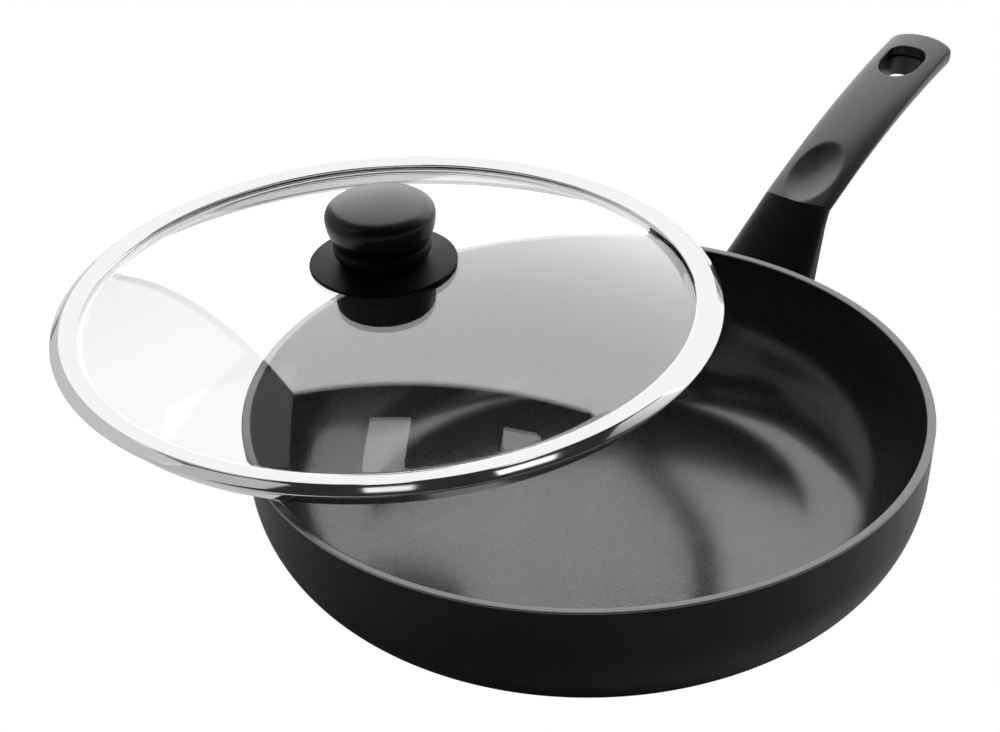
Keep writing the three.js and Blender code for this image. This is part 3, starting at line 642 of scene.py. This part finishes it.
# %% Base disc pieces
DISC_LOW, DISC_ROUND, DISC_STEPS = 0.06, 0.3, 192
INLAY_LOW, INLAY_DEPTH, INLAY_RADIUS, INLAY_PITCH, INLAY_RINGS = 0.03, 0.5, 2.1, 12.4, 6
disc_corners = [(0, DISC_LOW), (DISC_RADIUS, DISC_LOW), (DISC_RADIUS, DISC_THICKNESS), (0, DISC_THICKNESS)]
base_disc = turned("base_disc", soften(disc_corners, DISC_ROUND), DISC_STEPS, disc_steel)
dress(base_disc, "pan", "disc_steel", "induction_disc")

inlay_values = {"Rings": INLAY_RINGS, "Pitch": INLAY_PITCH * MM, "Radius": INLAY_RADIUS * MM}
inlay_values |= {"Depth": INLAY_DEPTH * MM, "Finish": inlay_metal}
disc_inlays = grow(
    "disc_inlays", bpy.data.meshes.new("disc_inlays"), inlays,
    {inlay_inputs[key]: value for key, value in inlay_values.items()},
    Matrix.Translation((0, 0, (INLAY_LOW + INLAY_DEPTH / 2) * MM)),
)
dress(disc_inlays, "pan", "disc_steel", "induction_disc")

# %% [markdown]
# ## Handle
# Neck and grip are one tapering form, cut by a parting line. Both are lofts: cross-sections with a crowned
# top, rounded shoulders and a belly follow a line in the handle's middle plane. A fine even grid lets the
# thumb dimple be pressed into it by moving points, which gives the soft edge of a moulded hollow.

# %% Handle sizes
CREASE = np.array((177.2, 76.8))
TIP = np.array((311.69, 107.6))
NECK_RISE, GRIP_RISE, TIP_RISE, TANG_RISE = (math.radians(a) for a in (35.5, 20.2, 5.3, 18.5))
MITRE = (NECK_RISE + GRIP_RISE) / 2
HALF_WIDTH, TIP_HALF_WIDTH, ABOVE, BELOW, TIP_BELOW = 16.4, 15.7, 4.2, 9.0, 12.5
CREASE_BOW, TIP_BOW, TIP_ROUND, PARTING = 2.6, 3.0, 2.6, 0.35
UPPER, CREASE_BELLY, TIP_BELLY, ROOT_BELLY = 2.1, 1.5, 2.4, 4.0
AROUND, FINE_STEPS = 160, 20000
MOULDED_CREASE = 38


def along(slope, length):
    """A step in the handle's middle plane."""
    return length * np.array((math.cos(slope), math.sin(slope)))


def mix(start, end, share):
    """A value part of the way between two others."""
    return start + (end - start) * share


# %% Cross-sections
def unit_outline(turn, belly):
    """A cross-section's outline at angles round it: across and up both go from -1 to 1."""
    c, s = np.cos(turn), np.sin(turn)
    power = np.where(s > 0, 2 / UPPER, 2 / belly)
    return np.sign(c) * np.abs(c) ** power, np.sign(s) * np.abs(s) ** power


def even_turns():
    """Angles whose points lie evenly along the outline of a middling cross-section."""
    turn = np.linspace(0, 2 * np.pi, FINE_STEPS + 1)
    across, up = unit_outline(turn, (CREASE_BELLY + TIP_BELLY) / 2)
    heights = np.where(up > 0, up * ABOVE, up * BELOW)
    steps = np.hypot(np.diff(across * HALF_WIDTH), np.diff(heights))
    run = np.concatenate(([0], np.cumsum(steps)))
    return np.interp(np.linspace(0, run[-1], AROUND + 1)[:-1], run, turn)


TURNS = even_turns()
UNIT_UP = unit_outline(TURNS, TIP_BELLY)[1]


def section(place, slope, half_width, above, below, belly, bow, inset=0.0):
    """One ring of points of the handle, as an array of (x, y, z)."""
    unit_across, unit_up = unit_outline(TURNS, belly)
    across = (half_width - inset) * unit_across
    up = np.where(unit_up > 0, above - inset, below - inset) * unit_up - above
    ahead = -bow * (across / half_width) ** 2
    x = place[0] + math.cos(slope) * ahead - math.sin(slope) * up
    z = place[1] + math.sin(slope) * ahead + math.cos(slope) * up
    return np.stack((x, across, z), axis=1)


print("points round the handle:", len(TURNS))


# %% Loft helpers
def loft(name, rings, material):
    """A closed skin over rings of points, with a fan at each end."""
    count = len(rings[0])
    points = np.concatenate([*rings, [rings[0].mean(0)], [rings[-1].mean(0)]]) * MM
    last = (len(rings) - 1) * count
    start_middle, end_middle = len(points) - 2, len(points) - 1
    faces = []
    for j in range(count):
        k = (j + 1) % count
        faces.append((start_middle, k, j))
        faces.append((end_middle, last + j, last + k))
        faces += [(b + j, b + k, b + count + k, b + count + j) for b in range(0, last, count)]
    mesh = bpy.data.meshes.new(name)
    mesh.from_pydata([tuple(p) for p in points], [], faces)
    mesh.materials.append(material)
    piece = bpy.data.objects.new(name, mesh)
    scene.collection.objects.link(piece)
    return piece


def carve(piece, *cutters):
    """Subtracts other objects from a piece for good, and removes them."""
    for cutter in cutters:
        boolean = piece.modifiers.new(cutter.name, "BOOLEAN")
        boolean.operation = "DIFFERENCE"
        boolean.solver = "EXACT"
        boolean.object = cutter
    evaluated = piece.evaluated_get(bpy.context.evaluated_depsgraph_get())
    carved = bpy.data.meshes.new_from_object(evaluated)
    piece.modifiers.clear()
    piece.data = carved
    for cutter in cutters:
        bpy.data.objects.remove(cutter)


def smooth_by_angle(piece, degrees):
    """Smooth shading, with a crisp edge wherever two faces meet at more than the angle."""
    work = bmesh.new()
    work.from_mesh(piece.data)
    for face in work.faces:
        face.smooth = True
    for edge in work.edges:
        edge.smooth = edge.is_manifold and edge.calc_face_angle(0) < math.radians(degrees)
    work.to_mesh(piece.data)
    work.free()


# %% Grip line
CREASE_PULL, TIP_PULL, LINE_STEPS = 0.32, 0.33, 600
MITRE_SHARE = 0.12
grip_reach = TIP[0] - CREASE[0]
near_crease = CREASE + along(GRIP_RISE, CREASE_PULL * grip_reach)
near_tip = TIP - along(TIP_RISE, TIP_PULL * grip_reach)
grip_line = np.array(bezier(CREASE, near_crease, near_tip, TIP, steps=LINE_STEPS))
grip_run = np.concatenate(([0], np.cumsum(np.hypot(*np.diff(grip_line, axis=0).T))))
grip_slopes = np.arctan2(np.gradient(grip_line[:, 1]), np.gradient(grip_line[:, 0]))
GRIP_LENGTH = grip_run[-1]


def grip_ring(distance, inset=0.0):
    """The grip's cross-section at a distance from the crease."""
    share = distance / GRIP_LENGTH
    place = np.array([np.interp(distance, grip_run, grip_line[:, k]) for k in (0, 1)])
    own_slope = np.interp(distance, grip_run, grip_slopes)
    slope = mix(MITRE, own_slope, min(share / MITRE_SHARE, 1))
    half_width, below = mix(HALF_WIDTH, TIP_HALF_WIDTH, share), mix(BELOW, TIP_BELOW, share)
    belly, bow = mix(CREASE_BELLY, TIP_BELLY, share), mix(-CREASE_BOW, TIP_BOW, share)
    return section(place, slope, half_width, ABOVE, below, belly, bow, inset)


print("grip length:", round(GRIP_LENGTH, 1), "mm")

# %% [markdown]
# The thumb dimple is an oval hollow just behind the crease. A soft step, the logarithm of one plus an
# exponential, lets its edge run out smoothly. The hollow is pressed square to the tang, the tongue of the
# neck inside the grip.

# %% Dimple
DIMPLE_AT, DIMPLE_LONG, DIMPLE_WIDE, DIMPLE_DEPTH = 20.7, 20.3, 11.0, 3.2
DIMPLE_CRISP, CRISP_LIMIT = 16, 40
UPPER_SIDE = 0.2


def handle_frame(origin, slope):
    """Matrix whose x runs along the handle and whose z points out of its upper side."""
    turn = Matrix.Rotation(-slope, 4, "Y")
    return Matrix.Translation((origin[0], 0, origin[1])) @ turn


TANG_FRAME = handle_frame(CREASE, TANG_RISE)
TIP_FRAME = handle_frame(TIP, TIP_RISE)


def to_local(points, place):
    """Points as seen in a frame."""
    inverse = np.array(place.inverted())
    return points @ inverse[:3, :3].T + inverse[:3, 3]


def press_dimple(ring):
    """Sinks the points of the upper side that lie in the dimple's oval."""
    local = to_local(ring, TANG_FRAME)
    hollow = 1 - ((local[:, 0] - DIMPLE_AT) / DIMPLE_LONG) ** 2 - (local[:, 1] / DIMPLE_WIDE) ** 2
    steep = np.clip(hollow * DIMPLE_CRISP, -CRISP_LIMIT, CRISP_LIMIT)
    soft = np.log1p(np.exp(steep)) / DIMPLE_CRISP
    sink = np.where(UNIT_UP > UPPER_SIDE, soft * DIMPLE_DEPTH, 0)
    normal = np.array(TANG_FRAME)[:3, 2]
    return ring - sink[:, None] * normal


print("dimple:", 2 * DIMPLE_LONG, "x", 2 * DIMPLE_WIDE, "mm")

# %% [markdown]
# The hanging hole is a shield, straight towards the tip and round towards the pan. The points near its edge
# sink along a quarter circle before the hole is cut, so that the edge is rounded as in a mould. Lower down,
# the hole is a little narrower: the ledge where two mould halves met.

# %% Hanging hole
HOLE_BACK, HOLE_LENGTH, HOLE_STRAIGHT, HOLE_HALF, HOLE_CORNER = 14.8, 26.3, 13.2, 9.6, 7.0
HOLE_EDGE, LEDGE, LEDGE_DROP, LEDGE_LAP = 0.7, 1.0, 5.5, 0.5
FLAT_SIDE = 0.55


def shield(inset=0.0, steps=40):
    """The hole's outline in the tip's frame, as (x, y) pairs, counterclockwise."""
    outer, half, corner = -HOLE_BACK - inset, HOLE_HALF - inset, HOLE_CORNER - inset
    middle, reach = -HOLE_BACK - HOLE_STRAIGHT, HOLE_LENGTH - HOLE_STRAIGHT - inset
    quarter = np.linspace(0, math.pi / 2, 9)
    x, y = outer - corner, half - corner
    line = [(x + corner * math.sin(a), -y - corner * math.cos(a)) for a in quarter]
    line += [(x + corner * math.cos(a), y + corner * math.sin(a)) for a in quarter]
    half_turn = np.linspace(math.pi / 2, 1.5 * math.pi, steps + 1)
    return line + [(middle + reach * math.cos(a), half * math.sin(a)) for a in half_turn]


def outline_distance(points, outline):
    """How far each (x, y) point lies outside a closed outline; less than 0 inside."""
    a = np.array(outline)
    b = np.roll(a, -1, axis=0)
    span = b - a
    rel = points[:, None, :] - a[None]
    share = np.clip((rel * span).sum(2) / (span**2).sum(1), 0, 1)
    gap = np.linalg.norm(rel - share[..., None] * span, axis=2).min(1)
    x, y = points[:, None, 0], points[:, None, 1]
    crossing = (a[:, 1] > y) != (b[:, 1] > y)
    rise = np.where(span[:, 1] == 0, 1e-9, span[:, 1])
    at_x = a[:, 0] + (y - a[:, 1]) * span[:, 0] / rise
    within = (crossing & (x < at_x)).sum(1) % 2 == 1
    return np.where(within, -gap, gap)


def round_hole_edge(ring, outline):
    """Sinks the points near the hole's edge along a quarter circle, above and on the belly."""
    local = to_local(ring, TIP_FRAME)
    gap = np.clip(outline_distance(local[:, :2], outline), 0, HOLE_EDGE)
    sink = HOLE_EDGE - np.sqrt(HOLE_EDGE**2 - (HOLE_EDGE - gap) ** 2)
    flat = np.abs(UNIT_UP) > FLAT_SIDE
    normal = np.array(TIP_FRAME)[:3, 2]
    return ring - np.where(flat, sink * np.sign(UNIT_UP), 0)[:, None] * normal


print("hanging hole:", HOLE_LENGTH, "x", 2 * HOLE_HALF, "mm")


# %% Cutters
def prism(name, outline, low, high, place):
    """A block with an outline, between two heights of a frame."""
    count = len(outline)
    points = [(x, y, z) for z in (low, high) for x, y in outline]
    faces = [tuple(reversed(range(count))), tuple(range(count, 2 * count))]
    faces += [(i, (i + 1) % count, count + (i + 1) % count, count + i) for i in range(count)]
    mesh = bpy.data.meshes.new(name)
    mesh.from_pydata(points, [], faces)
    mesh.transform(Matrix.Scale(MM, 4) @ place)
    cutter = bpy.data.objects.new(name, mesh)
    scene.collection.objects.link(cutter)
    return cutter


def round_outline(radius, x=0, steps=40):
    """A circle about a point on the frame's x axis."""
    angles = np.linspace(0, 2 * math.pi, steps + 1)[:-1]
    return [(x + radius * math.cos(a), radius * math.sin(a)) for a in angles]


# %% Grip
HOLE_MARGIN, COARSE_RINGS, FINE_RINGS, TIP_RINGS = 3, 110, 90, 8
OVER_GRIP, UNDER_GRIP = 20, -40
SCREW_AT, SCREW_WELL_RADIUS, SCREW_WELL_ROOF = 24, 3.4, -10.7
fine_from = GRIP_LENGTH - HOLE_BACK - HOLE_LENGTH - HOLE_MARGIN
round_from = GRIP_LENGTH - TIP_ROUND
coarse = np.linspace(PARTING, fine_from, COARSE_RINGS)
fine = np.linspace(fine_from, round_from, FINE_RINGS)[1:]
hole = shield()
rings = [round_hole_edge(press_dimple(grip_ring(d)), hole) for d in (*coarse, *fine)]
for a in np.linspace(0, math.pi / 2, TIP_RINGS + 1)[1:]:
    rings.append(grip_ring(round_from + TIP_ROUND * math.sin(a), TIP_ROUND * (1 - math.cos(a))))
grip = loft("grip", rings, soft_touch)
screw_well = round_outline(SCREW_WELL_RADIUS, SCREW_AT)
carve(
    grip,
    prism("hole_above", hole, -LEDGE_DROP, OVER_GRIP, TIP_FRAME),
    prism("hole_below", shield(LEDGE), UNDER_GRIP, -LEDGE_DROP + LEDGE_LAP, TIP_FRAME),
    prism("screw_well", screw_well, UNDER_GRIP, SCREW_WELL_ROOF, TANG_FRAME),
)
smooth_by_angle(grip, MOULDED_CREASE)
dress(grip, "pan", "soft_touch", "handle_grip")

# %% [markdown]
# The neck flares towards the pan and is scribed to its wall: each line of the loft runs on until it meets
# the wall. A stud on the wall and a screw from below hold it, so its belly has a well for the screw's head.

# %% Neck line
NECK_FLARE, NECK_DEEPEN, MITRE_RUN = 0.185, 0.06, 6
NECK_REACH, NECK_STEPS, NECK_RINGS = 80, 160, 40
to_wall = (CREASE[0] - RIM_RADIUS) / math.cos(NECK_RISE)
outside = np.array(wall_face(RIM_RADIUS, 0, CORNER, PAN_HEIGHT))


def neck_ring(back):
    """The neck's cross-section at a distance back from the crease."""
    turn = max(0.0, 1 - back / MITRE_RUN)
    deeper = NECK_DEEPEN * back
    return section(
        CREASE - along(NECK_RISE, back), mix(NECK_RISE, MITRE, turn), HALF_WIDTH + NECK_FLARE * back,
        ABOVE + deeper, BELOW + deeper, mix(CREASE_BELLY, ROOT_BELLY, min(back / to_wall, 1)),
        -CREASE_BOW * turn,
    )


def wall_gap(points):
    """How far points lie outside the pan's wall, measured level."""
    return np.hypot(points[:, 0], points[:, 1]) - np.interp(points[:, 2], outside[:, 1], outside[:, 0])


backs = np.linspace(0, NECK_REACH, NECK_STEPS + 1)
stack = np.array([neck_ring(back) for back in backs])
gaps = np.array([wall_gap(ring) for ring in stack])
meets = np.array([np.interp(-SEAT, -gaps[:, j], backs) for j in range(AROUND)])


def scribed_ring(share):
    """Each point of a ring, part of its own way from the crease to the wall."""
    ways = meets * share
    return np.array([[np.interp(ways[j], backs, stack[:, j, k]) for k in range(3)] for j in range(AROUND)])


print("neck length:", round(meets.min(), 1), "to", round(meets.max(), 1), "mm")

# %% Neck
# Each bore has a radius, and a start and an end measured out from the pan's axis.
STUD_HEIGHT = 43
BORES = {"neck_well": (5.2, 151, 220), "stud_hole": (4.8, 100, 147.3), "screw_hole": (2.5, 147, 152)}
neck = loft("neck", [scribed_ring(share) for share in np.linspace(1, 0, NECK_RINGS)], bakelite)
stud_frame = Matrix.Translation((0, 0, STUD_HEIGHT)) @ Matrix.Rotation(math.pi / 2, 4, "Y")
bores = [
    prism(name, round_outline(radius), start, end, stud_frame)
    for name, (radius, start, end) in BORES.items()
]
carve(neck, *bores)
smooth_by_angle(neck, MOULDED_CREASE)
dress(neck, "pan", "bakelite", "handle_neck")

# %% [markdown]
# ## Lid
# The lid lies askew on the pan, tipped by about a degree. Its pieces are turned about the lid's own axis
# and then put in place by one matrix. The rim is one strip of sheet: a lip, a flat band, a bevel, a rolled
# nose, a shelf under the glass and a skirt, each bend softened.

# %% Lid place
LID_HEIGHT, LID_BEARING, LID_TILT = 64.34, math.radians(85.8), math.radians(1.2)
tilt_axis = Vector((-math.sin(LID_BEARING), math.cos(LID_BEARING), 0))
lid_place = Matrix.Translation(Vector((*LID_CENTRE, LID_HEIGHT)) * MM)
LID = lid_place @ Matrix.Rotation(LID_TILT, 4, tilt_axis)
print("lid's foot:", [round(x / MM, 2) for x in LID.translation])

# %% Lid rim
STRIP, BEND, LID_STEPS = 0.8, 0.9, 320
BRIM_LOW, BRIM_TOP = 6.45, 10.05
LIP, BAND_START, BAND_END = (132.05, 11.45), (132.5, 11.85), (140.2, 12.45)
BEVEL_END, NOSE_END, SHELF_RADIUS, SKIRT_RADIUS = (144, 9.45), (143.4, 8.25), 139.2, 135.4


def strip_section(face, thickness):
    """A bent strip's closed outline, from its outer face and its thickness to the right of that."""
    spots = [np.array(p, float) for p in face]
    inner = []
    for i, p in enumerate(spots):
        ends = zip(spots[max(i - 1, 0) : i + 1], spots[max(i, 1) : i + 2])
        ways = [(b - a) / np.linalg.norm(b - a) for a, b in ends]
        rights = [np.array((w[1], -w[0])) for w in ways]
        mitre = sum(rights) / len(rights)
        inner.append(p + mitre / (mitre @ mitre) * thickness)
    return inner + spots[::-1]


shelf = BRIM_LOW - SEAT - STRIP
bends = [LIP, BAND_START, BAND_END, BEVEL_END, NOSE_END]
bends += [(SHELF_RADIUS, shelf), (SKIRT_RADIUS, shelf), (SKIRT_RADIUS, 0)]
band_profile = strip_section(soften(bends, BEND), STRIP)
lid_band = turned("lid_band", band_profile, LID_STEPS, polished_steel, LID, ring=True)
dress(lid_band, "lid", "polished_steel", "lid_rim")

# %% [markdown]
# The glass is a shallow dome with a flat brim. Real glass has two sides and each mirrors the room, so it is
# a full closed shell with its true thickness: the knob then shows twice in it.

# %% Lid glass
GLASS, GLASS_RADIUS, GLASS_HOLE, GLASS_ROUND = 3.6, 137.6, 4.2, 1.2
DOME_TOP, DOME_BALL, DOME_RADIUS = 32.45, 388.4, 130.0
BRIM_CURVE, DOME_STEPS, GLASS_STEPS = 2, 40, 256


def dome_height(radius, inside=0.0):
    """The height of the dome's ball at a distance from the lid's axis."""
    return DOME_TOP - DOME_BALL + math.sqrt((DOME_BALL - inside) ** 2 - radius**2)


spring = math.sqrt((DOME_BALL - GLASS) ** 2 - (BRIM_LOW - DOME_TOP + DOME_BALL) ** 2)
under_radii = np.linspace(GLASS_HOLE, spring - BRIM_CURVE, DOME_STEPS)
over_radii = np.linspace(DOME_RADIUS - BRIM_CURVE, GLASS_HOLE, DOME_STEPS)
under_line = [(r, dome_height(r, GLASS)) for r in under_radii]
over_line = [(r, dome_height(r)) for r in over_radii]
brim_start, brim_end = (spring + BRIM_CURVE, BRIM_LOW), (DOME_RADIUS + BRIM_CURVE, BRIM_TOP)
brim_under = bezier(under_line[-1], (spring, BRIM_LOW), brim_start, steps=8)[1:]
brim_over = bezier(brim_end, (DOME_RADIUS, BRIM_TOP), over_line[0], steps=8)[:-1]
edge_corners = [brim_start, (GLASS_RADIUS, BRIM_LOW), (GLASS_RADIUS, BRIM_TOP), brim_end]
glass_edge = soften(edge_corners, GLASS_ROUND)[1:-1]
glass_profile = under_line + brim_under + glass_edge + brim_over + over_line
lid_dome = turned("lid_dome", glass_profile, GLASS_STEPS, clear_glass, LID, ring=True)
dress(lid_dome, "lid", "glass", "lid_glass")

# %% [markdown]
# ## Knob
# The knob is a flange with a collar, and a head that sits on the collar with a small step. Both are
# moulded, so their edges are round and the head's crown is slightly arched.

# %% Knob flange
FLANGE_RADIUS, FLANGE_EDGE, FLANGE_ROUND = 31.5, 1.5, 0.6
KNOB_BORE, KNOB_SEAT_RADIUS, KNOB_STEPS = 2.3, 9, 160
COLLAR_RADIUS, COLLAR_ROUND, WAIST_RADIUS, WAIST_HOLLOW = 20.9, 1.5, 17, 0.75
SLOPE_RUN, SLOPE_RISE, SLOPE_INSET, SLOPE_LIFT = 4.5, 0.4, 0.5, 0.05
knob_seat, waist, collar_top = DOME_TOP + 1.7, DOME_TOP + 2.6, DOME_TOP + 10.4
flange_low = dome_height(FLANGE_RADIUS) + SEAT
flange_top = flange_low + FLANGE_EDGE
collar_middle, collar_end = (waist + collar_top) / 2, collar_top - COLLAR_ROUND

flange_corners = [(KNOB_SEAT_RADIUS, knob_seat), (FLANGE_RADIUS, flange_low), (FLANGE_RADIUS, flange_top)]
flange_corners += [(FLANGE_RADIUS - SLOPE_RUN, flange_top + SLOPE_RISE)]
slope_start = (FLANGE_RADIUS - SLOPE_INSET, flange_top + SLOPE_LIFT)
slope = bezier(slope_start, (COLLAR_RADIUS, waist - WAIST_HOLLOW), (WAIST_RADIUS, waist))
collar = bezier(
    (WAIST_RADIUS, waist), (COLLAR_RADIUS, waist + COLLAR_ROUND), (COLLAR_RADIUS, collar_middle),
    (COLLAR_RADIUS, collar_end),
)
collar_edge = bezier(
    (COLLAR_RADIUS, collar_end), (COLLAR_RADIUS, collar_top), (COLLAR_RADIUS - COLLAR_ROUND, collar_top),
    steps=6,
)
flange_profile = [(KNOB_BORE, knob_seat), (KNOB_SEAT_RADIUS, knob_seat)]
flange_profile += soften(flange_corners, FLANGE_ROUND)[1:-1]
flange_profile += slope[1:] + collar[1:] + collar_edge[1:] + [(KNOB_BORE, collar_top)]
knob_flange = turned("knob_flange", flange_profile, KNOB_STEPS, bakelite, LID, ring=True)
dress(knob_flange, "lid", "bakelite", "knob_base")

# %% Knob head
HEAD_RADIUS, HEAD_FOOT, FOOT_CUT, FOOT_RISE = 23.5, 20.0, 0.4, 0.15
CROWN_RADIUS, SHOULDER_ROUND = 19.3, 1.2
INSERT_RADIUS, INSERT_DEPTH = 5.3, 12.1
head_low, widest = collar_top + SEAT, DOME_TOP + 21.5
shoulder, crown = DOME_TOP + 27, DOME_TOP + 29.38
insert_roof = head_low + INSERT_DEPTH

flank_start, flank_end = (HEAD_FOOT, head_low + FOOT_RISE), (HEAD_RADIUS, widest)
crown_start = (CROWN_RADIUS, shoulder)
head_profile = [(0, insert_roof), (INSERT_RADIUS, insert_roof), (INSERT_RADIUS, head_low)]
head_profile += [(HEAD_FOOT - FOOT_CUT, head_low)]
head_profile += bezier(flank_start, (HEAD_RADIUS, (head_low + widest) / 2), flank_end)
head_profile += bezier(flank_end, (HEAD_RADIUS, shoulder - SHOULDER_ROUND), crown_start)[1:]
head_profile += bezier(crown_start, (CROWN_RADIUS / 2, crown), (0, crown))[1:]
knob_cap = turned("knob_cap", head_profile, KNOB_STEPS, rubbed_bakelite, LID)
dress(knob_cap, "lid", "bakelite", "knob_head")

# %% [markdown]
# ## Small pieces
# The stud, screws, washers, insert and seals are mostly hidden. The CAD nodes are good enough for them and
# only get their finishes.

# %% Carried-over nodes
carried = {
    plated_steel: ("handle_stud", "neck_washer", "neck_screw", "grip_screw", "knob_washer", "knob_screw"),
    turned_brass: ("knob_insert",),
    grey_silicone: ("knob_seal_upper", "knob_seal_lower"),
}
for material, names in carried.items():
    for name in names:
        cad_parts[name].data.materials.clear()
        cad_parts[name].data.materials.append(material)
print("carried over:", sum(len(names) for names in carried.values()))

# %% [markdown]
# ## Light for single pieces
# The wall of light is more than three times as bright as white paper. A camera's film flattens so bright a
# mirror image to just under white, and Blender's Standard view doesn't. So the lid's rim and the pan's rim
# mirror a dimmer wall in the same place, by light linking: a light's receiver collection tells what it
# lights, or what it leaves out. In the same way, one softbox is just for the lid's bevel, two cards are for
# the neck, and one more light brightens just the table, which the pan's wall and the handle mirror from
# below.


# %% Light linking
def link_light(lamp, pieces, state):
    """Makes a light shine on some pieces only, or on all but those."""
    receivers = bpy.data.collections.new(lamp.name + "_receivers")
    for piece in pieces:
        receivers.objects.link(piece)
    for member in receivers.collection_objects:
        member.light_linking.link_state = state
    lamp.light_linking.receiver_collection = receivers


bare_metal = [lid_band, pan_rim]
link_light(wall, bare_metal, "EXCLUDE")
link_light(dim_wall, bare_metal, "INCLUDE")
link_light(near_softbox, [lid_band], "INCLUDE")
for card in neck_cards:
    link_light(card, [neck], "INCLUDE")
link_light(table_light, [floor], "INCLUDE")
print("mirror the dimmer wall:", [piece.name for piece in bare_metal])
